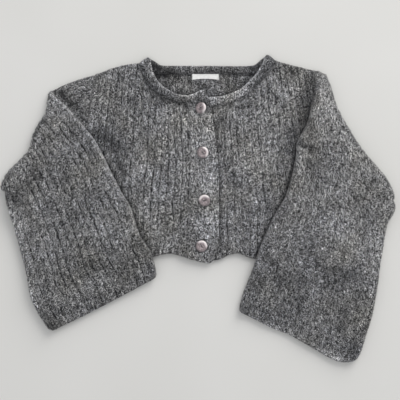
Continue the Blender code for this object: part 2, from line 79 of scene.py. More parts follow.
# Body and sleeves: lengths in millimetres, and shares of a width, of a length or of a rib
RIB_PITCH = 13.3
BAND_SHARE = 0.16
RIBS_END = (-0.35, 0.1)
BACK_GROOVE = 0.25
UNDERARM_Y = 100.0
BACK_HEM_Y = 2.0
BACK_SIDE_X = -236.0
NECK_EASE = 0.8
NECK_STEPS = 12
NECK_SHARE = 0.93
LAP_RISE = (-52.0, -24.0)
OVERLAP_BLEND = (14.0, 26.0)
FOLD_CORNERS = (9.0, 6.0)
BULGE_PLACE = (0.8, 1.0)
FELT_BELOW = 0.2
SLEEVE_WIDTH = 207.0
SLEEVE_RIBS = 15.3
SLEEVE_PHASE = 0.42

# How finely curves are read, and how many random values a field of lumps has on each side
CURVE_SAMPLES = 800
LUMP_TABLE = 128

# Spacing of the fine grids, in millimetres, and how many fine steps one step of an inner side spans
FRONT_STEP = 1.6
FRONT_STRETCH = 1.15
BACK_STEP = 3.0
SLEEVE_STEP = 1.75
BAND_STEP = 1.6
INNER_STRIDE = 4

# Neck band, buttons, their yarn and the label: lengths in millimetres, shares and counts
BAND_THICK = 3.6
BAND_CROWN = 3.9
BAND_OVERLAP = 1.6
# Painted highlight along the band's free edge: its share of added light, and the places across the band where
# it begins and is full
BAND_EDGE_HIGHLIGHT = 0.4
BAND_HIGHLIGHT_PLACE = (0.6, 0.9)
BAND_POWERS = (0.8, 0.85)
BAND_LUMP_ACROSS = 9.0
BAND_SIDES = 20
BAND_TURN_STEPS = 16
BUTTON_FOOT = 8.4
BUTTON_TILT = math.radians(28)
BUTTON_TURN = math.radians(-18)
BUTTON_SEGMENTS = 72
HOLE_RADIUS = 1.1
HOLE_SPACING = 4.8
DRILL_PROFILE = [(0, -1), (HOLE_RADIUS, -1), (HOLE_RADIUS, 4), (0, 4)]
DRILL_SEGMENTS = 28
BUTTON_CREASE = math.radians(48)
SEAT_POINTS = 24
YARN_OFFSETS = (-0.42, 0.0, 0.42)
YARN_POINTS = 13
YARN_INSET = 0.15
YARN_FOOT = 1.92
YARN_RISE = 0.62
YARN_DIVE = 6.5
YARN_DIVE_START = 0.8
YARN_GATHER = 0.3
YARN_RADIUS = 0.3
YARN_SIDES = 8
LABEL_SIZE = (47.0, 10.5, 0.7)
LABEL_TOP = (-2.2, 316.0)
LABEL_BOW = 2.0
LABEL_STEP = 0.9
LABEL_STRIDE = 2
LABEL_RIM = (0.5, 0.1)
LABEL_TURN = 0.22
LABEL_TURN_PLACE = (3.2, 3.8)
STITCH = ((-1.0, 0.0), (-0.7, 0.7), (0.2, 1.25), (1.2, 1.3), (1.7, 0.8))
STITCH_PLACES = (0.12, 0.27, 0.42, 0.57, 0.72, 0.87)
STITCH_SLANT = 0.3
STITCH_RADIUS = 0.2
STITCH_SIDES = 6
TUBE_HELPER = (0.31, 0.87, 0.38)

# What the picture shows: its middle and width on the cloth, and the height of the cloth's top
PICTURE_CENTRE = (-11.8, 92.75)
PICTURE_WIDTH = 700.0
CLOTH_HEIGHT = 8.0
CAMERA_SENSOR = 36.0
CAMERA_LENS = 85.0

# Half width of the floor and how far it lies below the cloth, in metres
FLOOR_HALF = 4.0
FLOOR_DROP = 0.0004

# Light: an even sky and one large soft window, placed in metres from the middle of the garment
SKY_COLOR = (0.965, 0.97, 0.985, 1)
SKY_STRENGTH = 0.61
WINDOW_PLACE = (2.1, 3.4, 2.15)
WINDOW_SIZE = 3.2
WINDOW_WATTS = 142.0
WINDOW_COLOR = (1.0, 0.985, 0.95)

# Outline of the body: (x, y)
SHOULDER_RIGHT = [(-196, 312), (-150, 328), (-115, 333)]
SHOULDER_LEFT = [(117, 338), (140, 331), (190, 319)]
HEM_RIGHT = [(-236, -2), (-116, -4), (-96, -7), (-82, -3.5), (-68, -1), (-49, -4), (-28, -11), (-5, -17),
             (6, -17.5), (13, -11)]
HEM_LEFT = [(-17, -15), (-1, -14), (20, -12), (35, -5), (52, -0.5), (66, -4), (77, -9), (92, -10),
            (125, -5), (235, -2)]
OPENING_EDGE = [(13, -11), (20, 19), (21, 86), (21, 130), (18, 175), (10, 236), (6, 264)]
UNDERLAP_EDGE = [(-17, -15), (-17, 257)]
ARMHOLE_RIGHT = [(-229, UNDERARM_Y), (-196, 312)]
ARMHOLE_LEFT = [(235, UNDERARM_Y), (190, 319)]

# Neck band: seam x, seam y, free edge x, free edge y, height of its middle
BAND_FRONT_RIGHT = [
    (5, 265, -3, 286, 8.4), (-8, 265, -12, 284, 8.4), (-24, 263, -25, 278, 8.2),
    (-40, 263, -38, 276, 6.4), (-63, 267, -56, 280, 5.0), (-85, 278, -76, 292, 5.2),
    (-102, 295, -88, 305, 6.0), (-111, 313, -95, 321, 6.5), (-115, 328, -99, 340.5, 6.6),
]
BAND_BACK = [
    (-115, 328, -99, 340.5, 1.8), (-106, 321, -91, 336, 1.8), (-97, 317, -82, 330, 1.8),
    (-82, 315, -70, 328.5, 1.8), (0, 315, 0, 328.5, 1.8), (76, 315, 70, 328, 1.8),
    (91, 316, 84, 330, 1.8), (106, 321, 94, 338, 1.8), (118, 331, 103, 345, 1.8),
]
BAND_FRONT_LEFT = [
    (118, 331, 103, 345, 6.6), (112, 322, 96, 331, 6.5), (99, 306, 87, 315, 6.0),
    (84, 290, 74, 301, 5.2), (65, 274, 58, 287, 4.9), (46, 265, 42, 280, 4.8),
    (27, 260, 26, 275, 4.6), (6, 258, 6, 273, 4.5), (-17, 257, -17, 272, 4.5),
]

# Sleeves as they lie: the fold from underarm side to shoulder side, then the edges down to the cuff
SLEEVES = {
    "sleeve_right": {
        "armhole": ARMHOLE_RIGHT,
        "fold": [(-362, 112), (-346, 142), (-325, 163), (-309, 182), (-304, 203), (-292, 228),
                 (-280, 246), (-276, 262), (-272, 276)],
        "under_edge": [(-344, 79), (-337, 51), (-324, 2), (-314.5, -37), (-306.5, -80), (-291, -112),
                       (-273, -138)],
        "upper_edge": [(-246, 257), (-217, 224), (-192, 192), (-173, 154), (-148, 105), (-134, 82),
                       (-117, 32), (-97, 0), (-86.5, -42)],
        "cuff": [(-273, -139), (-180, -92.5), (-86.5, -42)],
        "outward": (-0.88, 0.47),
        "shoulder_bulge": 13.0,
    },
    "sleeve_left": {
        "armhole": ARMHOLE_LEFT,
        "fold": [(331, 94), (317, 126), (298, 150), (280, 171), (265, 191), (247, 220),
                 (230, 250), (217, 284), (204, 309)],
        "under_edge": [(324, 72), (312, 47), (307, 14), (301, -30), (296, -68), (289, -110),
                       (279, -142), (270, -172), (261, -189)],
        "upper_edge": [(183, 265), (177, 232), (167, 212), (157, 191), (155, 166), (139, 103),
                       (119, 68), (98, 23), (88, -5), (76, -40), (65, -68), (55, -102)],
        "cuff": [(261, -189), (237, -191), (216, -184), (181, -164), (146, -144), (111, -130),
                 (76, -112), (55, -102)],
        "outward": (0.86, 0.51),
        "shoulder_bulge": 11.0,
    },
}

# Large folds that lift a whole piece: start x, y, end x, y, height, half width
FOLDS = {
    "front_right": [
        (-62, 196, -48, 150, 1.6, 9), (-70, 70, -56, 30, 1.8, 10), (-24, 262, 20, 262, 1.8, 13),
    ],
    "front_left": [
        (44, 240, 80, 206, 2.4, 10), (48, 160, 64, 96, 2.0, 10), (44, 42, 62, 14, 1.6, 8),
    ],
    "sleeve_right": [
        (-339, 70, -304, 86, 4.0, 13), (-304, 86, -232, 110, 3.6, 13), (-232, 110, -176, 136, 2.6, 12),
    ],
    "sleeve_left": [
        (112, 30, 180, 8, 2.4, 14), (180, 8, 282, -34, 2.6, 15),
    ],
}

# Creases in the top of each piece, in the same columns; a trough has a height below zero
CREASES = {
    "front_right": [
        (-120, 236, -104, 176, -1.7, 9), (-146, 262, -130, 196, 1.6, 13), (-96, 150, -84, 96, -1.0, 7),
        (-184, 236, -160, 190, -2.2, 11), (-172, 176, -150, 120, -1.4, 9),
        (-34, 232, -20, 204, -1.0, 6), (-26, 168, 8, 152, 1.0, 5), (-24, 158, 4, 142, -1.1, 4),
        (-30, 108, -14, 122, 1.0, 5), (-26, 78, 2, 66, 0.9, 5), (-30, 66, -6, 48, -1.2, 5),
        (-20, 40, 10, 52, 1.0, 6), (-38, 20, -16, 34, 1.1, 5), (-34, 6, -16, 6, -1.0, 4),
        (-4, 232, 4, 200, 0.8, 7), (-62, 24, -54, -4, -1.1, 6),
    ],
    "front_left": [
        (30, 242, 58, 208, -1.5, 7), (58, 208, 66, 150, -1.1, 7), (32, 176, 38, 60, -1.4, 4),
        (48, 176, 54, 80, -0.9, 4), (104, 150, 112, 70, 0.9, 9), (150, 262, 132, 214, -1.4, 12),
        (78, 272, 120, 290, 0.9, 12), (34, 50, 38, -2, -1.2, 4), (82, 66, 92, 12, -0.9, 6),
    ],
    "sleeve_right": [
        (-358, 118, -318, 92, -2.4, 11), (-318, 92, -296, 104, -1.2, 9), (-338, 62, -306, 76, 1.3, 5),
        (-296, 40, -270, 52, 1.0, 7), (-310, 20, -286, 36, -1.2, 8), (-300, 196, -262, 214, 1.0, 10),
        (-236, 238, -206, 196, -0.8, 7), (-180, 168, -196, 178, 1.2, 6), (-250, 6, -196, 34, 0.9, 14),
        (-268, -60, -200, -30, -1.0, 15), (-262, -104, -238, -40, 0.8, 8),
        (-130, -34, -116, 10, -0.9, 8), (-286, -90, -276, -60, -1.1, 5), (-222, 128, -150, 150, 0.8, 9),
    ],
    "sleeve_left": [
        (158, 196, 184, 190, 1.5, 6), (160, 184, 190, 176, -1.4, 7), (164, 170, 190, 160, 1.0, 7),
        (200, 250, 232, 226, 1.0, 14), (236, 204, 210, 150, -1.2, 16), (286, 150, 240, 96, 1.1, 16),
        (306, 92, 292, 40, -1.2, 12), (196, 96, 252, 60, 1.2, 22), (150, -12, 250, -52, -1.6, 22),
        (158, -92, 164, -126, -1.6, 4), (108, -36, 96, -96, 0.9, 12), (264, -120, 284, -70, 1.1, 10),
        (300, -6, 306, -34, -1.2, 7), (206, -104, 236, -152, 0.8, 14),
    ],
}

# Painted shade where places lie deep between layers and hold less light, in the same columns with a share of
# dark
HOLLOWS = {
    "front_right": [
        (-184, 208, -158, 186, 0.7, 16), (-158, 176, -144, 140, 0.42, 10),
        (-118, 240, -106, 190, 0.1, 9), (-180, 284, -128, 266, 0.28, 12),
        (-136, 288, -96, 284, 0.24, 12), (-106, 300, -80, 270, 0.5, 8), (-40, 257, 4, 258, 0.35, 4),
        (-10, -12, 16, -6, 0.3, 12), (-116, 322, -106, 300, 0.5, 6), (-150, 310, -110, 290, 0.16, 22),
        (-46, 40, -30, 22, 0.25, 6), (-22, 166, 0, 158, 0.3, 4), (4, 168, 14, 152, 0.35, 3),
    ],
    "front_left": [
        (181, 306, 174, 262, 0.62, 12), (174, 262, 166, 224, 0.6, 12), (166, 224, 150, 190, 0.45, 11),
        (130, 100, 92, 14, 0.35, 9), (26, 44, 28, -4, 0.4, 8), (26, 232, 60, 192, 0.4, 9),
        (58, 40, 76, 6, 0.22, 12), (118, 140, 104, 84, 0.3, 9), (26, 176, 32, 150, 0.35, 9),
        (60, 90, 84, 56, 0.2, 14), (60, 134, 64, 122, 0.25, 9), (74, 260, 66, 256, 0.4, 9),
        (108, 320, 150, 312, 0.3, 14), (22, 228, 30, 196, 0.4, 7), (30, 196, 36, 150, 0.35, 4),
        (24, 190, 25, 60, 0.5, 3), (42, 178, 50, 96, 0.3, 4), (96, 296, 112, 316, 0.3, 6),
        (118, 280, 124, 240, 0.18, 4), (34, 50, 38, -2, 0.3, 5),
    ],
    "back": [
        (-88, 312, 84, 312, 0.6, 4), (-100, 318, -72, 312, 0.9, 9), (-112, 324, -94, 316, 0.95, 9),
        (-70, 296, 60, 290, 0.2, 40), (-62, 292, -52, 292, 0.35, 11), (20, 298, 36, 295, 0.45, 11),
        (92, 318, 78, 311, 0.6, 7), (106, 326, 94, 318, 0.7, 7),
    ],
    "sleeve_right": [
        (-254, 279, -236, 257, 0.85, 8), (-236, 257, -198, 214, 0.45, 9),
        (-358, 104, -320, 88, 0.6, 10), (-330, 104, -300, 112, 0.3, 12),
        (-306, 134, -240, 126, 0.3, 14), (-236, 60, -246, -30, 0.2, 30),
        (-280, -112, -264, -132, 0.6, 14), (-240, -20, -220, -26, 0.22, 12),
        (-164, 0, -160, -16, 0.28, 8), (-250, -84, -226, -104, 0.24, 12),
        (-346, 126, -300, 118, 0.3, 9), (-250, -30, -120, -30, 0.14, 44),
        (-226, 204, -212, 190, 0.35, 11), (-108, -20, -94, -36, 0.4, 10),
        (-150, -70, -130, -50, 0.25, 12), (-230, 226, -200, 214, 0.3, 13),
        (-300, 100, -270, 80, 0.2, 10), (-205, 140, -184, 140, 0.35, 10),
        (-192, 106, -184, 104, 0.3, 8), (-212, 20, -204, -30, 0.22, 12), (-192, -80, -176, -84, 0.3, 9),
    ],
    "sleeve_left": [
        (190, 286, 180, 262, 0.6, 9), (158, 190, 186, 184, 0.45, 4), (172, 214, 184, 236, 0.3, 5),
        (104, -8, 132, -48, 0.45, 20), (132, -60, 158, -60, 0.38, 24), (70, -96, 86, -60, 0.4, 14),
        (150, -100, 200, -84, 0.3, 26), (110, -118, 160, -134, 0.3, 14), (180, -20, 184, 20, 0.3, 12),
        (206, -60, 268, -40, 0.32, 24), (226, -90, 246, -160, 0.3, 24), (254, -176, 262, -190, 0.6, 12),
        (126, 110, 134, 50, 0.26, 14), (188, 212, 184, 198, 0.35, 9), (200, 170, 206, 126, 0.22, 14),
        (180, -150, 230, -170, 0.24, 18), (88, -34, 108, -62, 0.4, 11), (186, -14, 206, -30, 0.35, 11),
        (222, 14, 232, 4, 0.3, 10), (250, -60, 270, -84, 0.36, 12), (276, -110, 284, -132, 0.34, 10),
        (100, 28, 190, 22, 0.2, 12), (286, 146, 294, 132, 0.4, 7), (90, -64, 260, -124, 0.14, 60),
        (110, -20, 130, -60, 0.45, 14), (236, -78, 246, -104, 0.4, 10),
    ],
    "band_inside": [
        (-100, 333, -84, 322, 0.95, 11), (-86, 322, -60, 318, 0.75, 9), (-60, 318, 70, 318, 0.34, 6),
        (40, 322, 84, 322, 0.35, 10), (98, 335, 80, 322, 0.8, 11),
    ],
    "band_front": [
        (-112, 316, -84, 288, 0.4, 10), (-84, 284, -30, 268, 0.34, 8), (-30, 268, -6, 268, 0.26, 7),
        (100, 316, 112, 336, 0.55, 14), (-98, 338, -88, 312, 0.5, 6), (104, 345, 92, 326, 0.65, 7),
        (80, 292, 100, 312, 0.25, 9),
    ],
}

# Painted light: places drawn paler, in the same columns with a share of added light
PAINTED_LIGHT = {
    "front_right": [
        (-66, 246, -20, 238, 0.4, 13), (2, 210, 10, 60, 0.3, 14), (-16, 170, -14, 160, 0.35, 9),
        (-16, 250, 0, 244, 0.4, 8), (-2, 82, 4, 74, 0.35, 9), (-20, 200, -18, 140, 0.22, 20),
        (-46, 150, -32, 120, 0.3, 12), (-150, 60, -70, 40, 0.2, 30), (-198, 276, -186, 272, 0.35, 9),
        (-152, 244, -142, 228, 0.26, 10), (-112, 230, -96, 216, 0.24, 12), (-76, 70, -60, 48, 0.2, 13),
    ],
    "front_left": [
        (96, 260, 84, 150, 0.22, 34), (88, 230, 88, 200, 0.36, 13), (18, 140, 18, 80, 0.3, 12),
        (46, 208, 96, 214, 0.3, 13), (40, 158, 56, 156, 0.3, 9), (40, 106, 90, 92, 0.35, 9),
        (120, 280, 150, 270, 0.14, 30),
    ],
    "back": [
        (36, 312, 60, 300, 0.2, 14),
    ],
    "sleeve_right": [
        (-336, 132, -304, 200, 0.45, 15), (-334, 62, -322, 52, 0.6, 14),
        (-182, -46, -164, -50, 0.4, 18), (-180, 130, -174, 122, 0.25, 14),
        (-276, 0, -264, -76, 0.24, 9), (-196, 62, -176, 46, 0.24, 12), (-146, 16, -128, 46, 0.35, 12),
        (-300, 228, -284, 196, 0.35, 12), (-318, 168, -346, 132, 0.3, 10),
        (-294, 28, -286, 24, 0.35, 9), (-320, -16, -306, -80, 0.4, 5), (-306, -80, -286, -124, 0.4, 5),
        (-262, 270, -246, 257, 0.3, 3.5), (-246, 257, -217, 224, 0.4, 3.5),
        (-217, 224, -192, 192, 0.4, 3.5), (-192, 192, -148, 105, 0.3, 3.5),
    ],
    "sleeve_left": [
        (214, 286, 250, 206, 0.5, 17), (250, 206, 296, 146, 0.4, 17), (186, 250, 200, 206, 0.36, 14),
        (222, 50, 232, 28, 0.3, 26), (296, 150, 326, 112, 0.35, 9), (164, 160, 166, 146, 0.5, 9),
        (220, 100, 240, 60, 0.2, 24), (296, 44, 304, -4, 0.4, 10), (158, 190, 166, 124, 0.28, 9),
        (240, 124, 276, 144, 0.28, 11), (104, -124, 146, -142, 0.35, 5), (146, -142, 236, -188, 0.4, 5),
    ],
    "band_inside": [],
    "band_front": [
        (2, 263, 30, 264, 0.5, 9), (30, 264, 72, 278, 0.4, 9),
    ],
}

# How strongly each piece's ribs stand out, and how much it is pushed up by soft lumps
RELIEF = {
    "front_right": {"ribs": 1.15, "swell": 4.2},
    "front_left": {"ribs": 1.0, "swell": 4.2},
    "sleeve_right": {"ribs": 1.3, "swell": 5.0},
    "sleeve_left": {"ribs": 0.55, "swell": 5.2},
    "back": {"ribs": 0.35},
}

# Soft shape of the pieces: heights and reaches in millimetres, and shares by which they are pressed down
CREASE_DEPTH = 1.9
EDGE_PUFF = 2.4
EDGE_PUFF_REACH = 12.0
EDGE_PUFF_RUN = (1.0, 25.0)
SOFT_RUN = (2.0, 30.0)
CUFF_CORNER = 9.0
RIM_FADE = 0.7
RIM_FADE_PLACE = (0.9, 0.94)
SWELL_PITCH = 62.0
SMALL_SWELL = ((0.5, 24.0),)
SWELL_MEAN = 0.55
SOFT_FLOOR = 0.25
SLEEVE_PRESS = 0.85
SLEEVE_HOLLOW = 17.0
BUTTON_PRESS = 0.6
BUTTON_DIMPLE = 14.0
LAP_ROLL = 1.2
LAP_ROLL_REACH = 7.0
BODY_SWELL_TOP = (276.0, 318.0)
BODY_SWELL_SIDE = (178.0, 218.0)

# Buttons: x, y, turn of their two holes in degrees, and where the painted highlight on the rim lies
BUTTONS = [(-10, 253, 60, 0), (-7, 176, -55, 18), (-4, 92, 20, 105), (-9, 12, -50, 60)]

# Radius and height of a button's turned profile, from the foot's centre over the rim to the dish
BUTTON_PROFILE = [
    (0.0, 0.0), (6.0, 0.0), (8.6, 0.05), (9.5, 0.3), (9.95, 0.75), (10.0, 1.2), (9.8, 1.5),
    (9.3, 1.85), (8.8, 2.2), (8.3, 2.5), (7.9, 2.66), (7.5, 2.7), (7.1, 2.6), (6.7, 2.4), (6.2, 2.26),
    (5.0, 2.12), (3.8, 2.03), (0.0, 2.0),
]

# Random unevenness of the surface: layers of lumps, each with its height and pitch in millimetres
FELT = ((0.2, 5.2), (0.14, 2.9))
WOBBLE = ((0.11, 34.0), (0.05, 9.0))
RIB_UNEVEN = ((0.22, 21.0),)
BAND_LUMPS = ((0.1, 7.0),)
BAND_SMALL_LUMPS = ((0.05, 2.6),)
LABEL_WAVE = ((0.18, 8.0),)
SWELL_SEED = 11
BACK_SEED = 60
SLEEVE_SEEDS = ((-1, 70), (1, 77))
BAND_SEED = 90
LABEL_SEED = 5

# Painted shade and shadow beside what lies on the cloth: share of dark and how far it reaches, in millimetres
SLEEVE_SHADES = ((0.75, 5.0), (0.22, 13.0))
BAND_SHADES = ((BAND_FRONT_RIGHT, (0.72, 4.6)), (BAND_FRONT_LEFT, (0.4, 3.0)))
OPENING_SHADES = ((0, (0.7, 3.6)), (4, (0.3, 9.0)))
BUTTON_RING = 10.8
BUTTON_SHADE = (0.85, 1.3)
BACK_SHADE = (0.62, 6.5)

# Loose fibres, in millimetres; those at edges by their ranges of length, width and rise, and by grain
LEAST_STEP = 0.02
FIBRE_POINTS = 5
FIBRE_CURL = 0.5
FIBRE_KINK = 0.7
FIBRE_ARCH = 1.15
FIBRE_SINK = 0.1
FIBRE_TAPER = (0.18, 0.82)
GRAIN_SPREAD = 0.5
GRID_END = 1.001
NECK_SEEN = (125, 240)
EDGE_FIBRES = ((2, 5), (0.2, 0.5), (0.5, 1.6), 0.2)

# Uneven tones of the wool: scale, detail and roughness of a noise, then the stops of its ramp
WOOL_TONES = (
    ((14.0, 2.0, 0.5), (0.36, (1.0, 0.985, 0.95)), (0.5, (0.975, 0.978, 1.01)), (0.64, (0.95, 0.965, 1.03))),
    ((26.0, 3.0, 0.6), (0.32, 0.6), (0.68, 1.34)),
    ((115.0, 2.0, 0.6), (0.34, 0.66), (0.66, 1.34)),
    ((9.0, 1.0, 0.5), (0.35, 0.8), (0.65, 1.16)),
)

# Pearl: radius of a button in metres, and the stops of its dish and its rim
PEARL_RADIUS = 0.01
PEARL_DISH = ((0.34, (0.085, 0.064, 0.069)), (0.47, (0.2, 0.155, 0.164)), (0.56, (0.36, 0.295, 0.305)),
              (0.68, (0.62, 0.53, 0.54)))
PEARL_RIM = ((0.35, (0.12, 0.092, 0.098)), (0.65, (0.34, 0.28, 0.288)))

# Fronts: armhole, shoulder and hem from the side, free edge, neck seam from the centre, random seed
FRONTS = {
    "front_right": (ARMHOLE_RIGHT, SHOULDER_RIGHT, HEM_RIGHT, OPENING_EDGE, BAND_FRONT_RIGHT, 20),
    "front_left": (ARMHOLE_LEFT, SHOULDER_LEFT[::-1], HEM_LEFT[::-1], UNDERLAP_EDGE,
                   BAND_FRONT_LEFT[::-1], 40),
}

# Cloth pieces: name, random seed of the fibres, whole cut in metres, how it is held, what it rests on
KNITS = (
    ("front_right", 101, (0.257, 0.348), "laid", ["back", "front_left"]),
    ("front_left", 101, (0.252, 0.348), "laid", ["back"]),
    ("back", 103, (0.471, 0.331), "laid", []),
    ("sleeve_right", 104, (0.415, 0.43), "folded", ["front_right", "front_left"]),
    ("sleeve_left", 104, (0.415, 0.43), "folded", ["front_right", "front_left"]),
    ("neck_band", 105, (0.0155, 0.72), "folded", ["back"]),
)


class Curve:
    """Smooth curve through the rows of a table, read by fractions of its length."""

    def __init__(self, points):
        self.points = np.array(points, float)
        steps = np.linalg.norm(np.diff(self.points[:, :2], axis=0), axis=1)
        self.knots = np.concatenate([[0.0], np.cumsum(steps)])
        self.length = self.knots[-1]
        number = np.arange(len(self.points))
        before, after = np.maximum(number - 1, 0), np.minimum(number + 1, number[-1])
        rise = self.points[after] - self.points[before]
        self.slopes = rise / (self.knots[after] - self.knots[before])[:, None]

    def at(self, fractions):
        place = np.clip(np.asarray(fractions, float), 0.0, 1.0) * self.length
        index = np.clip(np.searchsorted(self.knots, place) - 1, 0, len(self.points) - 2)
        span = (self.knots[index + 1] - self.knots[index])[..., None]
        t = (place - self.knots[index])[..., None] / span
        start, end = self.points[index], self.points[index + 1]
        start_slope, end_slope = self.slopes[index] * span, self.slopes[index + 1] * span
        return ((2 * t**3 - 3 * t**2 + 1) * start + (t**3 - 2 * t**2 + t) * start_slope
                + (3 * t**2 - 2 * t**3) * end + (t**3 - t**2) * end_slope)

    def y_at(self, x):
        """Heights of a curve that runs steadily along X."""
        dense = self.at(np.linspace(0, 1, CURVE_SAMPLES))
        if dense[-1, 0] < dense[0, 0]:
            dense = dense[::-1]
        return np.interp(x, dense[:, 0], dense[:, 1])


def smoothstep(start, end, value):
    t = np.clip((value - start) / (end - start), 0.0, 1.0)
    return t * t * (3 - 2 * t)


def falloff(distance, reach):
    return np.exp(-((distance / reach) ** 2))


def unit(vectors):
    return vectors / np.maximum(np.linalg.norm(vectors, axis=-1, keepdims=True), 1e-9)


def signed_power(value, power):
    return np.sign(value) * np.abs(value) ** power


def rounding(distance, radius):
    """Share of full height that a rounded edge has at a distance from its rim."""
    inset = 1 - np.clip(distance / radius, 0.0, 1.0)
    return np.sqrt(1 - inset * inset)


def distance_to_segment(x, y, x0, y0, x1, y1):
    run = (x1 - x0) ** 2 + (y1 - y0) ** 2
    t = np.clip(((x - x0) * (x1 - x0) + (y - y0) * (y1 - y0)) / run, 0.0, 1.0)
    return np.hypot(x - x0 - t * (x1 - x0), y - y0 - t * (y1 - y0))


def path_distance(points, x, y):
    """Distance from places to a line of points."""
    return np.minimum.reduce([distance_to_segment(x, y, *start, *end)
                              for start, end in zip(points, points[1:])])


def distance_outside(polygon, x, y):
    """Distance from places to a polygon, or zero inside it."""
    inside = np.zeros(np.shape(x), bool)
    around = polygon + polygon[:1]
    for (x0, y0), (x1, y1) in zip(around, around[1:]):
        if y0 != y1:
            inside ^= ((y0 > y) != (y1 > y)) & (x < x0 + (y - y0) * (x1 - x0) / (y1 - y0))
    return np.where(inside, 0.0, path_distance(around, x, y))


def lumps(x, y, pitch, seed):
    """Smooth random field from -1 to 1 with lumps about a pitch wide."""
    size = LUMP_TABLE
    table = np.random.default_rng(seed).uniform(-1, 1, (size, size))
    column, row = np.floor(x / pitch), np.floor(y / pitch)
    fx, fy = smoothstep(0, 1, x / pitch - column), smoothstep(0, 1, y / pitch - row)
    i, j = column.astype(int), row.astype(int)
    low, high = [table[i % size, k % size] * (1 - fx) + table[(i + 1) % size, k % size] * fx
                 for k in (j, j + 1)]
    return low * (1 - fy) + high * fy


def patches(rows, x, y):
    """Soft patches along the segments of some rows, one array for each row."""
    return [amount * falloff(distance_to_segment(x, y, *ends), half_width)
            for *ends, amount, half_width in rows]


def strongest(rows, x, y):
    """The strongest of some soft patches at places, and zero away from them."""
    return np.maximum.reduce([np.zeros(np.shape(x)), *patches(rows, x, y)])


def hollow_shade(name, x, y):
    """Share of painted shade in the deep places of a piece, below zero where painted light makes it paler."""
    return strongest(HOLLOWS[name], x, y) - strongest(PAINTED_LIGHT[name], x, y)


def edge_shade(points, x, y, dark, reach):
    """Painted shade that falls off beside a line of points."""
    return dark * falloff(path_distance(points, x, y), reach)


def body_shade(name, x, y):
    """Painted shade on a front: in its hollows and beside all that lies on it, less where painted light is
    added.
    """
    edges = [(sleeve["upper_edge"], shade) for sleeve in SLEEVES.values() for shade in SLEEVE_SHADES]
    edges += [([row[:2] for row in band], shade) for band, shade in BAND_SHADES]
    if name == "front_left":
        edges += [(OPENING_EDGE[first:], shade) for first, shade in OPENING_SHADES]
    shades = [strongest(HOLLOWS[name], x, y)]
    shades += [edge_shade(points, x, y, *shade) for points, shade in edges]
    for button_x, button_y, *_ in BUTTONS:
        from_ring = np.hypot(x - button_x, y - button_y) - BUTTON_RING
        shades.append(BUTTON_SHADE[0] * falloff(from_ring, BUTTON_SHADE[1]))
    return np.maximum.reduce(shades) - strongest(PAINTED_LIGHT[name], x, y)


def back_shade(x, y):
    """Painted shade on the inside of the back: in its hollows, and painted shadow behind the fronts' neck
    bands.
    """
    bands = [[row[2:4] for row in band] for band in (BAND_FRONT_RIGHT, BAND_FRONT_LEFT)]
    behind = [edge_shade(band, x, y, *BACK_SHADE) for band in bands]
    return np.maximum.reduce([hollow_shade("back", x, y), *behind])


def soft_top(name, x, y):
    """How far the top of a piece stands above the flat lie of its solid, never below it."""
    swell = SWELL_MEAN + (1 - SWELL_MEAN) * lumps(x, y, SWELL_PITCH, SWELL_SEED)
    height = RELIEF[name]["swell"] * swell + layered(SMALL_SWELL, x, y, SWELL_SEED + 1)
    height = height + sum(patches(CREASES[name], x, y)) * CREASE_DEPTH
    return (height + np.sqrt(height * height + SOFT_FLOOR)) / 2


def body_top(x, y):
    """Soft height of the fronts; the overlap takes the right front's, so that the layers nest."""
    share = smoothstep(*OVERLAP_BLEND, x)
    height = soft_top("front_right", x, y) * (1 - share) + soft_top("front_left", x, y) * share
    pressed = [smoothstep(*BODY_SWELL_TOP, y), smoothstep(*BODY_SWELL_SIDE, np.abs(x))]
    pressed += [SLEEVE_PRESS * falloff(path_distance(sleeve["upper_edge"], x, y), SLEEVE_HOLLOW)
                for sleeve in SLEEVES.values()]
    pressed += [BUTTON_PRESS * falloff(np.hypot(x - button[0], y - button[1]), BUTTON_DIMPLE)
                for button in BUTTONS]
    for down in pressed:
        height = height * (1 - down)
    return height


def patch(bottom, top, left, right, s, v):
    """Points inside four boundary curves, for s and v that make a grid."""
    s, v = s[:, None, None], v[None, :, None]
    low, high = bottom(s[:, 0, 0])[:, None], top(s[:, 0, 0])[:, None]
    first, last = left(v[0, :, 0])[None], right(v[0, :, 0])[None]
    ends = np.array([0.0, 1.0])
    low_ends, high_ends = bottom(ends), top(ends)
    corners = ((1 - v) * ((1 - s) * low_ends[0] + s * low_ends[1])
               + v * ((1 - s) * high_ends[0] + s * high_ends[1]))
    return (1 - v) * low + v * high + (1 - s) * first + s * last - corners


def round_corners(plan, across, to_end, radius):
    """Draws in the two corners at the end of a grid, so that they are round in plan."""
    for near, turn in ((across, 1.0), (across[-1] - across, -1.0)):
        p = 1 - np.clip(near / radius, 0, 1)[:, None]
        q = 1 - np.clip(to_end / radius, 0, 1)[None]
        side = (p - p * np.sqrt(1 - q * q / 2)) * radius * turn
        back = (q - q * np.sqrt(1 - p * p / 2)) * radius
        sideways, along = unit(np.gradient(plan, axis=0)), unit(np.gradient(plan, axis=1))
        plan = plan + sideways * side[..., None] - along * back[..., None]
    return plan


def graded(length, step, stride):
    """Shares of a length, close together at both ends, their number of steps a multiple of stride."""
    edge = np.array(EDGE_STEPS)
    middle = round((length - 2 * edge[-1]) / step)
    middle += -(middle + 2 * (len(edge) - 1)) % stride
    inner = np.linspace(edge[-1], length - edge[-1], middle + 1)[1:-1]
    return np.concatenate([edge, inner, length - edge[::-1]]) / length


def graded_end(length, step):
    """Shares along a length, without its start and close together at its end."""
    inner = np.linspace(0, length - EDGE_STEPS[-1], round(length / step))[1:]
    return np.concatenate([inner, length - np.array(EDGE_STEPS[-2::-1])]) / length


def neck_line(rows, corner):
    """Edge of a panel round the neck: the band's seam, eased outwards, up to the shoulder's corner."""
    seam = Curve([row[:2] for row in rows])
    fractions = np.arange(NECK_STEPS + 1) / NECK_STEPS * NECK_SHARE
    here = seam.at(fractions)
    ahead = unit(seam.at(fractions + 1 / seam.length) - here)
    outward = ahead[:, ::-1] * (np.sign(corner[0]), -np.sign(corner[0]))
    return np.vstack([here + outward * NECK_EASE, corner])


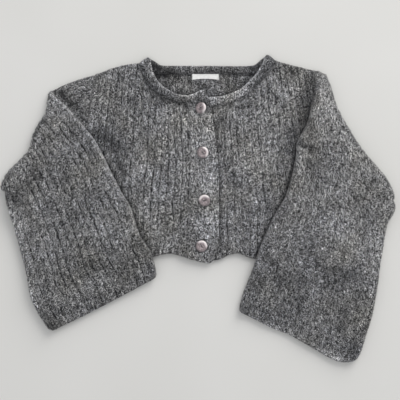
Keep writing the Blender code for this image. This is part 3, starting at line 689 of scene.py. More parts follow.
def side_line(hem_point, armhole):
    """Side seam and armhole as one line by its share of the height, with a corner at the underarm."""
    hem_point, underarm, shoulder = [np.array(p, float) for p in (hem_point, *armhole)]
    share = UNDERARM_Y / shoulder[1]

    def line(v):
        v = v[:, None]
        below = hem_point + (underarm - hem_point) * v / share
        above = underarm + (shoulder - underarm) * (v - share) / (1 - share)
        return np.where(v < share, below, above)
    return line


def across_line(start_x, end_x, y_of):
    """Line by a share of the way across, whose heights come from a function of x."""
    def line(s):
        x = start_x + (end_x - start_x) * s
        return np.stack([x, y_of(x)], 1)
    return line


def rib_height(phase, v_mm, strength, seed):
    """Raised ribs with narrow grooves at whole phases, uneven in height."""
    crest = np.abs(np.sin(math.pi * phase)) ** RIB_SHARPNESS
    return RIB * strength * crest * (1 + layered(RIB_UNEVEN, phase * RIB_PITCH, v_mm, seed))


def layered(layers, x, y, seed):
    """Sum of lumps of several sizes, each layer with its height and pitch."""
    return sum(height * lumps(x, y, pitch, seed + k) for k, (height, pitch) in enumerate(layers))


def threads(phase, along, strength, shade):
    """Thread coordinates of a grid: rib number, length, rib strength and share of painted shade."""
    return np.stack(np.broadcast_arrays(phase, along, strength, shade), -1)


class Grid:
    """Points of one side of a cloth, with its thread coordinates."""

    def __init__(self, points, thread, closed=False):
        self.points = points
        self.thread = thread
        self.closed = closed

    def normals(self):
        if self.closed:
            across = np.roll(self.points, -1, 0) - np.roll(self.points, 1, 0)
        else:
            across = np.gradient(self.points, axis=0)
        normal = np.cross(across, np.gradient(self.points, axis=1))
        if self.closed and np.sum(normal * (self.points - self.points.mean(0))) < 0:
            normal = -normal
        return unit(normal)

    def part(self, columns, rows):
        return Grid(self.points[columns, rows], self.thread[columns, rows], self.closed)

    def coarse(self, stride):
        return self.part(slice(None, None, stride), slice(None, None, stride))


def quads(grid, start):
    """Faces of a grid whose first vertex has the number start."""
    columns, rows = grid.points.shape[:2]
    index = start + np.arange(columns * rows).reshape(columns, rows)
    ahead = np.roll(index, -1, 0) if grid.closed else index[1:]
    here = index if grid.closed else index[:-1]
    faces = np.stack([here[:, :-1], ahead[:, :-1], ahead[:, 1:], here[:, 1:]], 2)
    return index, faces.reshape(-1, 4).tolist()


def border(index, closed):
    """Vertex numbers round an open grid, or the two end rings of a closed one."""
    if closed:
        return [index[:, 0], index[:, -1]]
    return [np.concatenate([index[:-1, 0], index[-1, :-1], index[:0:-1, -1], index[0, :0:-1]])]


def bridge(fine, coarse):
    """Faces between two closed rings, the fine one with a whole number of steps to each coarse one."""
    stride = len(fine) // len(coarse)
    faces = []
    for k, vertex in enumerate(coarse):
        run = [fine[(k * stride + m) % len(fine)] for m in range(stride + 1)]
        faces.append([int(n) for n in [*run, coarse[(k + 1) % len(coarse)], vertex]])
    return faces


def wall_mesh(name, outer, inner, stride):
    """Closed wall between a fine outer grid and the coarse form of an inner one."""
    inner = inner.coarse(stride)
    outer_index, faces = quads(outer, 0)
    inner_index, inner_faces = quads(inner, outer_index.size)
    faces += inner_faces
    for fine, coarse in zip(border(outer_index, outer.closed), border(inner_index, inner.closed)):
        faces += bridge(fine, coarse)
    points = np.concatenate([outer.points.reshape(-1, 3), inner.points.reshape(-1, 3)])
    thread = np.concatenate([outer.thread.reshape(-1, 4), inner.thread.reshape(-1, 4)])
    return make_mesh(name, points, faces, thread)


def capped_mesh(name, grid):
    """A closed tube of a grid with both ends closed by one face each."""
    index, faces = quads(grid, 0)
    faces += [index[::-1, 0].tolist(), index[:, -1].tolist()]
    return make_mesh(name, grid.points.reshape(-1, 3), faces, grid.thread.reshape(-1, 4))


def on_frame(points):
    """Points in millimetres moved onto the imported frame, none of them below the floor."""
    placed = np.asarray(points, float) + SHIFT
    placed[:, 2] = np.maximum(placed[:, 2], 0.0)
    return placed * MM


def add_object(name, data):
    obj = bpy.data.objects.new(name, data)
    bpy.context.scene.collection.objects.link(obj)
    return obj


def set_values(mesh, values):
    """Named values, one for each point of a mesh."""
    for label, numbers in values.items():
        layer = mesh.attributes.new(label, "FLOAT", "POINT")
        layer.data.foreach_set("value", numbers.astype(np.float32))


def make_mesh(name, points, faces, thread=None):
    """Object from points in millimetres, moved onto the frame, its faces turned outwards."""
    mesh = bpy.data.meshes.new(name)
    mesh.from_pydata(on_frame(points).tolist(), [], faces)
    if thread is not None:
        layer = mesh.attributes.new("thread", "FLOAT_VECTOR", "POINT")
        layer.data.foreach_set("vector", thread[:, :3].astype(np.float32).ravel())
        set_values(mesh, {"shade": thread[:, 3]})
    work = bmesh.new()
    work.from_mesh(mesh)
    bmesh.ops.recalc_face_normals(work, faces=work.faces)
    work.to_mesh(mesh)
    work.free()
    mesh.shade_smooth()
    return add_object(name, mesh)


def loose_mesh(name, points, faces, values):
    """Object of separate faces, kept as they are turned, with named values at its points."""
    mesh = bpy.data.meshes.new(name)
    mesh.vertices.add(len(points))
    mesh.vertices.foreach_set("co", on_frame(points).astype(np.float32).ravel())
    mesh.loops.add(faces.size)
    mesh.loops.foreach_set("vertex_index", faces.astype(np.int32).ravel())
    mesh.polygons.add(len(faces))
    mesh.polygons.foreach_set("loop_start", np.arange(0, faces.size, faces.shape[1], dtype=np.int32))
    mesh.update(calc_edges=True)
    set_values(mesh, values)
    mesh.shade_smooth()
    return add_object(name, mesh)


def panel_rim(s, v, size, radius, start=RIM_START):
    """Share of full height of a panel, less towards its rounded edges."""
    across, along = [start + np.minimum(share, 1 - share) * length for share, length in zip((s, v), size)]
    return np.minimum(rounding(along[None], radius), rounding(across[:, None], radius))


def panel(lines, size, steps, radius):
    """A flat panel inside four lines: shares across it, places, lengths along it and its rim."""
    s, v = [graded(length, step, INNER_STRIDE) for length, step in zip(size, steps)]
    plan = patch(*lines, s, v)
    x, y = plan[..., 0], plan[..., 1]
    return s[:, None], x, y, v[None] * size[1] + 0 * y, panel_rim(s, v, size, radius)


def front_grids(name):
    """Top and underside of one front, from the left of the picture to its right."""
    armhole, shoulder, hem, edge, band, seed = FRONTS[name]
    neck, shoulder_curve, edge = Curve(neck_line(band, shoulder[-1])), Curve(shoulder), Curve(edge)

    def top_y(x):
        return np.where(np.abs(x) < abs(shoulder[-1][0]), neck.y_at(x), shoulder_curve.y_at(x))

    bottom = across_line(hem[0][0], hem[-1][0], Curve(hem).y_at)
    top = across_line(armhole[1][0], edge.points[-1][0], top_y)
    width = abs(hem[0][0] - hem[-1][0])
    lines = (bottom, top, side_line(hem[0], armhole), edge.at)
    s, x, y, along, rim = panel(lines, (width, armhole[1][1]), (FRONT_STEP, FRONT_STEP * FRONT_STRETCH),
                                HEM_ROUND)
    ribs = round(width * (1 - BAND_SHARE) / RIB_PITCH)
    phase = s / (1 - BAND_SHARE) * ribs + layered(WOBBLE, s * width + 0 * y, along, seed)
    strength = RELIEF[name]["ribs"] * (1 - smoothstep(*RIBS_END, phase - ribs))
    under = WALL + GAP + strongest(FOLDS[name], x, y) + body_top(x, y)
    if name == "front_right":
        under = under + smoothstep(*LAP_RISE, x) * (WALL + GAP)
        under = under + LAP_ROLL * falloff((1 - s) * width, LAP_ROLL_REACH)
    middle = under + WALL / 2
    thick = WALL / 2 * rim
    relief = rib_height(phase, along, strength, seed + 2) + layered(FELT, x, y, seed + 3)
    surface = middle + thick + relief * rim
    thread = threads(phase, along / RIB_PITCH, strength, body_shade(name, x, y))
    outer = Grid(np.stack([x, y, surface], 2), thread)
    inner = Grid(np.stack([x, y, middle - thick], 2), threads(phase, along / RIB_PITCH, 0.0, 0.0))
    columns = slice(None, None, 1 if name == "front_right" else -1)
    return outer.part(columns, slice(None)), inner.part(columns, slice(None))


def back_grids():
    """Inner side of the back, which shows inside the neck, and its flat underside."""
    half = len(BAND_BACK) // 2
    right_seam = Curve(neck_line(BAND_BACK[half::-1], SHOULDER_RIGHT[-1]))
    left_seam = Curve(neck_line(BAND_BACK[half:], SHOULDER_LEFT[0]))
    right_shoulder, left_shoulder = Curve(SHOULDER_RIGHT), Curve(SHOULDER_LEFT)

    def top_y(x):
        neck = np.where(x < 0, right_seam.y_at(x), left_seam.y_at(x))
        neck = np.where(x < SHOULDER_RIGHT[-1][0], right_shoulder.y_at(x), neck)
        return np.where(x > SHOULDER_LEFT[0][0], left_shoulder.y_at(x), neck)

    hem = (HEM_RIGHT[0][0], HEM_LEFT[-1][0])
    lines = (across_line(*hem, lambda x: BACK_HEM_Y + 0 * x),
             across_line(ARMHOLE_RIGHT[1][0], ARMHOLE_LEFT[1][0], top_y),
             side_line((hem[0], BACK_HEM_Y), ARMHOLE_RIGHT), side_line((hem[1], BACK_HEM_Y), ARMHOLE_LEFT))
    size = hem[1] - hem[0], ARMHOLE_RIGHT[1][1]
    _, x, y, along, rim = panel(lines, size, (BACK_STEP, BACK_STEP), BACK_ROUND)
    phase = x / RIB_PITCH + layered(WOBBLE, x, y, BACK_SEED)
    grooves = BACK_GROOVE * np.abs(np.cos(math.pi * phase)) ** 6
    relief = np.minimum(layered(FELT, x, y, BACK_SEED + 3), 0.0) - grooves
    thread = threads(phase, along / RIB_PITCH, RELIEF["back"]["ribs"], back_shade(x, y))
    outer = Grid(np.stack([x, y, WALL / 2 * (1 + rim) + relief * rim], 2), thread)
    outside = threads(phase, along / RIB_PITCH, 1.0, 0.0)
    return outer, Grid(np.stack([x, y, WALL / 2 * (1 - rim)], 2), outside)


class Sleeve:
    """A flattened tube that leaves the armhole, turns back over itself and lies down to the cuff."""

    def __init__(self, name):
        shape = SLEEVES[name]
        self.name = name
        self.outward = np.array(shape["outward"])
        inset = FOLD_RADIUS + TUBE_HALF
        self.turn_curve = Curve(np.array(shape["fold"]) - self.outward * inset)
        self.bulge = shape["shoulder_bulge"]
        self.cuff = Curve(shape["cuff"])
        ends = self.turn(np.array([0.0, 1.0]))
        self.under_edge = Curve([ends[0], *shape["under_edge"]])
        self.upper_edge = Curve([ends[1], *shape["upper_edge"]])
        facing = np.sign(self.outward[0])
        self.shoulder_side = np.array([abs(self.outward[1]) * facing, 1.0])
        self.armhole = np.array(shape["armhole"]) + (facing * GAP, 0.0)
        body = [HEM_RIGHT[0], HEM_LEFT[-1], *ARMHOLE_LEFT, *ARMHOLE_RIGHT[::-1]]
        root = [shape["armhole"][0], *shape["fold"], shape["armhole"][1]]
        self.below = (body, root)

    def turn(self, t):
        """Line of the fold by share across, drawn back at both ends so that its corners are round."""
        drawn_back = sum(corner * (1 - rounding(from_edge * SLEEVE_WIDTH, corner))
                         for from_edge, corner in zip((t, 1 - t), FOLD_CORNERS))
        return self.turn_curve.at(t) - self.outward * drawn_back[:, None]

    def support(self, x, y):
        """Share of the lift that the layers below give: 1 on them, 0 where the sleeve has dropped."""
        distance = np.minimum(*[distance_outside(polygon, x, y) for polygon in self.below])
        return 1 - smoothstep(*DROP, distance)

    def stretches(self, step):
        """Stations of the whole sleeve: shares to the fold, angles round it and shares down to the cuff."""
        flat_length = np.linalg.norm(self.turn(np.array([0.5]))[0] - self.armhole.mean(0))
        turn_length = math.pi * (FOLD_RADIUS + TUBE_HALF)
        angles = np.linspace(0, math.pi, round(turn_length / step) + 1)[1:]
        folded = graded_end(self.under_edge.length, step)
        count = round(flat_length / step) + 1
        count += -(count + len(angles) + len(folded) - 1) % INNER_STRIDE
        return np.linspace(0, 1, count), angles, folded

    def middle(self, flat, angles, folded, t):
        """Arrays by station: centre, facing, run from the fold, and the rib shares of both sides."""
        ones = np.ones(len(t))
        turn = self.turn(t)
        past = np.outer(self.bulge * smoothstep(*BULGE_PLACE, t), self.shoulder_side)
        start = self.armhole[0] + (self.armhole[1] - self.armhole[0]) * t[:, None]
        stations = []
        for share in flat:
            plan = start + (turn - start) * share + past * math.sin(math.pi / 2 * share)
            centre = np.column_stack([plan, TUBE_HALF * ones])
            stations.append((centre, (0.0, 0.0, 1.0), 0.0, ones, 0 * ones))
        for angle in angles:
            facing = np.array([*(-self.outward * math.sin(angle)), math.cos(angle)])
            plan = turn + past * math.cos(angle / 2) ** 2
            centre = np.column_stack([plan, (TUBE_HALF + FOLD_RADIUS) * ones]) - FOLD_RADIUS * facing
            stations.append((centre, facing, 0.0, ones, math.sin(min(angle, math.pi / 2)) * ones))
        run = folded * self.under_edge.length
        centres, share = self.folded_part(folded, run, t)
        for k, place in enumerate(run):
            stations.append((centres[:, k], (0.0, 0.0, -1.0), place, share[:, k], ones))
        centres, facings, runs, front, back = zip(*stations)
        return (np.stack(centres, 1), np.array(facings, float), np.array(runs),
                np.stack(front, 1), np.stack(back, 1))

    def folded_part(self, folded, run, t):
        """Middle of the part from the fold to the cuff, and the share of it that is held up."""
        plan = patch(self.turn, self.cuff.at, self.under_edge.at, self.upper_edge.at, t, folded)
        plan = round_corners(plan, t * SLEEVE_WIDTH, run[-1] - run, CUFF_CORNER)
        x, y = plan[..., 0], plan[..., 1]
        share = self.support(x, y)
        puff = FOLD_PUFF * np.exp(-run / PUFF_REACH)
        lie = body_top(x, y) * (np.abs(x) < abs(self.armhole[0][0]))
        z = TUBE_HALF + share * (LIFT + puff + lie) + strongest(FOLDS[self.name], x, y)
        return np.stack([x, y, z], 2), share

    def side(self, parts, t, sign, half, edge, strength, seed):
        """One side of the tube as points by share across and station, and its thread coordinates."""
        centres, facings, runs, front, back = parts
        x, y = centres[..., 0], centres[..., 1]
        outside = strength > 0
        across = t[:, None] * SLEEVE_WIDTH + 0 * x
        from_edge = np.minimum(t, 1 - t)[:, None] * SLEEVE_WIDTH
        puff = EDGE_PUFF * falloff(from_edge, EDGE_PUFF_REACH) * smoothstep(*EDGE_PUFF_RUN, runs)[None]
        centres = centres + puff[..., None] * (0.0, 0.0, 1.0)
        steps = np.linalg.norm(np.diff(centres, axis=1), axis=2)
        along = np.concatenate([np.zeros((len(t), 1)), np.cumsum(steps, 1)], 1)
        rim = rounding(from_edge, edge + puff * outside)
        phase = t[:, None] * SLEEVE_RIBS + SLEEVE_PHASE + layered(WOBBLE, across, along, seed)
        share = front if sign > 0 else back
        ribs = strength * (1 - RIM_FADE * smoothstep(*RIM_FADE_PLACE, t))[:, None]
        lift = half + puff * outside + rib_height(phase, along, ribs, seed + 2) * share
        shade = 0.0
        if outside:
            lift = lift + layered(FELT, across, along, seed + 3) * np.minimum(share + FELT_BELOW, 1)
            on_this_side = (runs <= 0) if sign > 0 else (runs > 0)
            shade = hollow_shade(self.name, x, y) * on_this_side[None]
        if outside and sign < 0:
            lift = lift + soft_top(self.name, x, y) * smoothstep(*SOFT_RUN, runs)[None]
        points = centres + sign * facings[None] * (lift * rim)[..., None]
        return points, threads(phase, along / RIB_PITCH, ribs, shade)

    def grid(self, places, half, edge, strength):
        """Both sides of the tube as one closed grid, at shares across it."""
        parts = self.middle(*self.stretches(SLEEVE_STEP), places)
        sides = [self.side(parts, places, sign, half, edge, strength, seed)
                 for sign, seed in SLEEVE_SEEDS]
        points, thread = [np.concatenate([low, high[-2:0:-1]]) for low, high in zip(*sides)]
        return Grid(points, thread, closed=True)


def sleeve_grids(name):
    """Outside and inside of a sleeve's wall, both all round the tube."""
    sleeve = Sleeve(name)
    places = graded(SLEEVE_WIDTH, SLEEVE_STEP, 2 * INNER_STRIDE)
    outer = sleeve.grid(places, TUBE_HALF, TUBE_HALF, RELIEF[name]["ribs"])
    wall = WALL / SLEEVE_WIDTH
    inner = sleeve.grid(wall + (1 - 2 * wall) * places, GAP / 2, GAP, 0.0)
    for row, inset in enumerate(EDGE_STEPS[:-1]):
        z = outer.points[:, -1 - row, 2]
        z += (np.roll(z[::-1], 1) - z) / 4 * (1 - rounding(RIM_START + inset, HEM_ROUND))
    return outer, inner


def band_path():
    """Seam, free edge and facing of the neck band from the end of the lap to that of the underlap."""
    parts = []
    for rows, facing in ((BAND_FRONT_RIGHT, 1.0), (BAND_BACK, -1.0), (BAND_FRONT_LEFT, 1.0)):
        if parts:
            parts.append(band_turn(rows[0], last_z, rows[0][4]))
        path = Curve(rows)
        steps = path.at(np.linspace(0, 1, round(path.length / BAND_STEP) + 1))
        if facing > 0:
            steps[:, 4] += body_top(steps[:, 0], steps[:, 1])
        parts.append((steps[:, [0, 1, 4]], steps[:, [2, 3, 4]], np.tile((0.0, 0.0, facing), (len(steps), 1))))
        last_z = rows[-1][4]
    return [np.concatenate(group) for group in zip(*parts)]


def band_turn(row, start_z, end_z):
    """The band's way over a shoulder from one layer to the other, about its crease."""
    seam, free = np.array(row[0:2], float), np.array(row[2:4], float)
    crease = free - seam
    outward = unit(np.array([-crease[1], crease[0]]))
    outward *= np.sign(outward[1])
    radius, middle = abs(start_z - end_z) / 2, (start_z + end_z) / 2
    angles = math.pi * np.arange(1, BAND_TURN_STEPS) / BAND_TURN_STEPS
    if start_z < end_z:
        angles = math.pi - angles
    facing = np.column_stack([np.sin(angles)[:, None] * outward, np.cos(angles)])
    return [np.array([*end, middle]) + facing * radius for end in (seam, free)] + [facing]


def band_grid():
    """The neck band as one rounded strip with a soft roll at its free edge."""
    seams, frees, facings = band_path()
    steps = np.linalg.norm(np.diff((seams + frees) / 2, axis=0), axis=1)
    along = np.concatenate([[0.0], np.cumsum(steps)])
    seams = seams - unit(frees - seams) * BAND_OVERLAP
    across = frees - seams
    angles = 2 * math.pi * np.arange(BAND_SIDES) / BAND_SIDES
    places = 0.5 - 0.5 * signed_power(np.cos(angles), BAND_POWERS[0])
    heights = signed_power(np.sin(angles), BAND_POWERS[1])
    small_lumps = layered(BAND_SMALL_LUMPS, along, 0 * along, BAND_SEED + 1)
    points, thread = [], []
    for place, height in zip(places, heights):
        across_mm = 0 * along + BAND_LUMP_ACROSS * place
        lump = 1 + layered(BAND_LUMPS, along, across_mm, BAND_SEED) + small_lumps
        above = facings[:, 2] * height > 0
        reach = np.where(above, BAND_CROWN, BAND_THICK / 2) * height * lump
        middle = seams + across * place
        points.append(middle + facings * reach[:, None])
        plan = middle[:, :2].T
        # Painted highlight along the free edge of the band's outside
        edge_highlight = BAND_EDGE_HIGHLIGHT * smoothstep(*BAND_HIGHLIGHT_PLACE, place)
        shade = np.where(facings[:, 2] < 0, hollow_shade("band_inside", *plan),
                         hollow_shade("band_front", *plan) - edge_highlight)
        thread.append(threads(along / RIB_PITCH, place, 0.0, shade))
    return Grid(np.stack(points), np.stack(thread), closed=True)


class Fibres:
    """Loose curly fibres that start on a grid and follow it, as thin ribbons."""

    def __init__(self, grid, seed):
        self.grid = grid
        self.rng = np.random.default_rng(seed)
        self.normal = grid.normals()
        if grid.closed:
            across = np.roll(grid.points, -1, 0) - grid.points
        else:
            across = np.gradient(grid.points, axis=0)
        self.across, self.along = [np.maximum(np.linalg.norm(step, axis=2), LEAST_STEP)
                                   for step in (across, np.gradient(grid.points, axis=1))]
        self.ribbons = []

    def read(self, values, a, b):
        """Values of the grid at fractional columns a and rows b."""
        columns, rows = values.shape[:2]
        i, j = np.floor(a).astype(int), np.clip(np.floor(b).astype(int), 0, rows - 2)
        fa, fb = a - i, np.clip(b - j, 0, 1)
        if self.grid.closed:
            i, i1 = i % columns, (i + 1) % columns
        else:
            i = np.clip(i, 0, columns - 2)
            i1 = i + 1
        if values.ndim == 3:
            fa, fb = fa[:, None], fb[:, None]
        low = values[i, j] * (1 - fa) + values[i1, j] * fa
        high = values[i, j + 1] * (1 - fa) + values[i1, j + 1] * fa
        return low * (1 - fb) + high * fb

    def starts(self, count, wanted):
        """Random places, spread evenly over the wanted part of the surface."""
        weight = self.across * self.along * wanted
        weight = weight[:, :-1] if self.grid.closed else weight[:-1, :-1]
        flat = weight.ravel() / weight.sum()
        cells = self.rng.choice(len(flat), count, p=flat)
        i, j = np.unravel_index(cells, weight.shape)
        return i + self.rng.random(count), j + self.rng.random(count)

    def grow(self, count, wanted, length, width, rise, grain):
        """Adds fibres: length, width and rise are ranges in millimetres, grain turns them along the ribs."""
        a, b = self.starts(count, wanted)
        rng = self.rng
        angle = rng.uniform(0, 2 * math.pi, count)
        along = math.pi / 2 + rng.normal(0, GRAIN_SPREAD, count) + math.pi * rng.integers(0, 2, count)
        angle = np.where(rng.random(count) < grain, along, angle)
        bend = rng.normal(0, FIBRE_CURL, count)
        step = rng.uniform(*length, count) / (FIBRE_POINTS - 1)
        top = rng.uniform(*rise, count)
        half = rng.uniform(*width, count) / 2
        path, normals = [], []
        # Painted shade and light of the cloth where each fibre starts
        dark = self.read(self.grid.thread[..., 3], a, b)
        columns, rows = self.grid.points.shape[:2]
        for share in np.linspace(0, 1, FIBRE_POINTS):
            normal = self.read(self.normal, a, b)
            lift = top * math.sin(math.pi * min(share * FIBRE_ARCH, 1.0)) - FIBRE_SINK
            path.append(self.read(self.grid.points, a, b) + normal * lift[:, None])
            normals.append(normal)
            a = a + step * np.cos(angle) / self.read(self.across, a, b)
            b = b + step * np.sin(angle) / self.read(self.along, a, b)
            b = np.clip(b, 0, rows - GRID_END)
            if not self.grid.closed:
                a = np.clip(a, 0, columns - GRID_END)
            angle = angle + bend + rng.normal(0, FIBRE_CURL * FIBRE_KINK, count)
        self.ribbons.append((np.stack(path, 1), np.stack(normals, 1), half, rng.random(count), dark))


def ribbon_mesh(name, ribbons):
    """Joined mesh of tapered ribbons, each drawn along its path and lying on its normals."""
    path, normals, half, tone, shade = [np.concatenate(group) for group in zip(*ribbons)]
    count, steps = path.shape[:2]
    sideways = unit(np.cross(np.gradient(path, axis=1), normals))
    taper = np.sin(np.linspace(*FIBRE_TAPER, steps) * math.pi)[None, :, None]
    reach = sideways * half[:, None, None] * taper
    points = np.stack([path - reach, path + reach], 2).reshape(-1, 3)
    index = np.arange(len(points)).reshape(count, steps, 2)
    faces = np.stack([index[:, :-1, 0], index[:, 1:, 0], index[:, 1:, 1], index[:, :-1, 1]], 2)
    values = {"tone": np.repeat(tone, steps * 2), "shade": np.repeat(shade, steps * 2)}
    return loose_mesh(name, points, faces.reshape(-1, 4), values)


def tube_mesh(name, paths, radius, sides):
    """Joined mesh of round strands along paths that have the same number of points."""
    points, faces = [], []
    angles = 2 * math.pi * np.arange(sides)[:, None, None] / sides
    for path in np.array(paths, float):
        heading = unit(np.gradient(path, axis=0))
        first = unit(np.cross(heading, TUBE_HELPER))
        second = np.cross(heading, first)
        ring = path + radius * (np.cos(angles) * first + np.sin(angles) * second)
        index, strand = quads(Grid(ring, None, closed=True), len(points) * sides * len(path))
        faces += strand + [index[::-1, 0].tolist(), index[:, -1].tolist()]
        points.append(ring.reshape(-1, 3))
    return make_mesh(name, np.concatenate(points), faces)


def front_height(x, y):
    """Top of the right front's smooth placket at places."""
    lap = 1 + smoothstep(*LAP_RISE, x)
    return WALL + lap * (WALL + GAP) + strongest(FOLDS["front_right"], x, y) + body_top(x, y)


def button_frame(index, x, y):
    """Turn and place of a button: seated on the placket, the top one standing tilted in its hole."""
    angles = np.linspace(0, 2 * math.pi, SEAT_POINTS)
    seat = front_height(x + BUTTON_FOOT * np.cos(angles), y + BUTTON_FOOT * np.sin(angles)).max() + GAP
    tilt, turn = (BUTTON_TILT, BUTTON_TURN) if index == 1 else (0.0, 0.0)
    rotation = np.array(Euler((0.0, -tilt, turn)).to_matrix())
    return rotation, np.array([x, y, seat + BUTTON_FOOT * math.sin(tilt)])


def turned_mesh(name, profile, segments, rotation, place):
    """Closed solid turned from radii and heights that start and end on the axis."""
    angles = 2 * math.pi * np.arange(segments) / segments
    points, faces = [(0.0, 0.0, profile[0][1])], []
    for radius, height in profile[1:-1]:
        points += [(radius * math.cos(a), radius * math.sin(a), height) for a in angles]
    points.append((0.0, 0.0, profile[-1][1]))
    last = len(points) - 1
    for k in range(segments):
        after = (k + 1) % segments
        faces.append([0, 1 + after, 1 + k])
        for ring in range(len(profile) - 3):
            low = 1 + ring * segments
            faces.append([low + k, low + after, low + segments + after, low + segments + k])
        faces.append([last - segments + k, last - segments + after, last])
    return make_mesh(name, np.array(points) @ rotation.T + place, faces)


def drill_hole(button, rotation, centre):
    """Cuts one thread hole through a button."""
    drill = turned_mesh("drill", DRILL_PROFILE, DRILL_SEGMENTS, rotation, centre)
    cut = button.modifiers.new("thread hole", "BOOLEAN")
    cut.object = drill
    with bpy.context.temp_override(object=button, active_object=button):
        bpy.ops.object.modifier_apply(modifier=cut.name)
    bpy.data.objects.remove(drill)


def yarn_strands(across):
    """Three strands of yarn side by side, from one hole of a button over its dish into the other."""
    shares = np.linspace(-1, 1, YARN_POINTS)
    away = np.abs(shares)
    reach = shares * (HOLE_SPACING / 2 - YARN_INSET)
    height = YARN_FOOT + YARN_RISE * (1 - away ** 3) - YARN_DIVE * np.maximum(away - YARN_DIVE_START, 0)
    sideways = np.array([-across[1], across[0], 0.0])
    return [np.outer(reach, across) + np.outer(offset * (1 - YARN_GATHER * away), sideways)
            + np.outer(height, (0.0, 0.0, 1.0)) for offset in YARN_OFFSETS]


def add_button(index, x, y, hole_turn, highlight_turn):
    """Dished two-hole button, with the yarn that holds it crossing between its holes."""
    rotation, place = button_frame(index, x, y)
    button = turned_mesh(f"pearl_button_{index}", BUTTON_PROFILE, BUTTON_SEGMENTS, rotation, place)
    turn = math.radians(hole_turn)
    across = np.array([math.cos(turn), math.sin(turn), 0.0])
    for side in (-1, 1):
        drill_hole(button, rotation, place + rotation @ (across * side * HOLE_SPACING / 2))
    button.data.set_sharp_from_angle(angle=BUTTON_CREASE)
    strands = [place + strand @ rotation.T for strand in yarn_strands(across)]
    yarn = tube_mesh(f"button_yarn_{index}", strands, YARN_RADIUS, YARN_SIDES)
    centre = (place + SHIFT) * MM
    button.data.materials.append(pearl_material(f"smoky pearl {index}", centre, math.radians(highlight_turn)))
    yarn.data.materials.append(thread_material("button yarn", (0.012, 0.012, 0.014)))
    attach(button, "root")
    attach(yarn, "root")
    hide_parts(f"button_{index}")


def label_top(s):
    """Upper edge of the label by its share of the width."""
    return LABEL_TOP[1] - LABEL_BOW * (2 * s - 1) ** 2


def label_stitches():
    """Short stitches over both ends of the label."""
    width, height, _ = LABEL_SIZE
    strands = []
    for end, turn in ((0.0, 1), (1.0, -1)):
        x = LABEL_TOP[0] + (end - 0.5) * width
        for place in STITCH_PLACES:
            y = label_top(end) - height * place
            strands.append([(x + turn * reach, y + STITCH_SLANT * reach, WALL + GAP + lift)
                            for reach, lift in STITCH])
    return tube_mesh("tab_stitches", strands, STITCH_RADIUS, STITCH_SIDES)


def add_label():
    """Blank woven tab with turned-in ends, sewn down at both sides."""
    width, height, thick = LABEL_SIZE
    s, v = graded(width, LABEL_STEP, LABEL_STRIDE), graded(height, LABEL_STEP, LABEL_STRIDE)
    x = LABEL_TOP[0] + (s[:, None] - 0.5) * width + 0 * v[None]
    y = label_top(s)[:, None] - height * (1 - v[None])
    rim = panel_rim(s, v, (width, height), *LABEL_RIM)
    turned = LABEL_TURN * (1 - smoothstep(*LABEL_TURN_PLACE, np.minimum(s, 1 - s)[:, None] * width))
    low = WALL + GAP + 0 * x
    thread = threads(x, y, 0.0, 0.0)
    raised = (thick + turned + layered(LABEL_WAVE, x, y, LABEL_SEED)) * rim
    label = wall_mesh("woven_tab", Grid(np.stack([x, y, low + raised], 2), thread),
                      Grid(np.stack([x, y, low], 2), thread), LABEL_STRIDE)
    label.data.materials.append(label_material())
    stitches = label_stitches()
    stitches.data.materials.append(thread_material("tab thread", (0.55, 0.55, 0.54)))
    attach(label, "root")
    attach(stitches, "root")
    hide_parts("label")


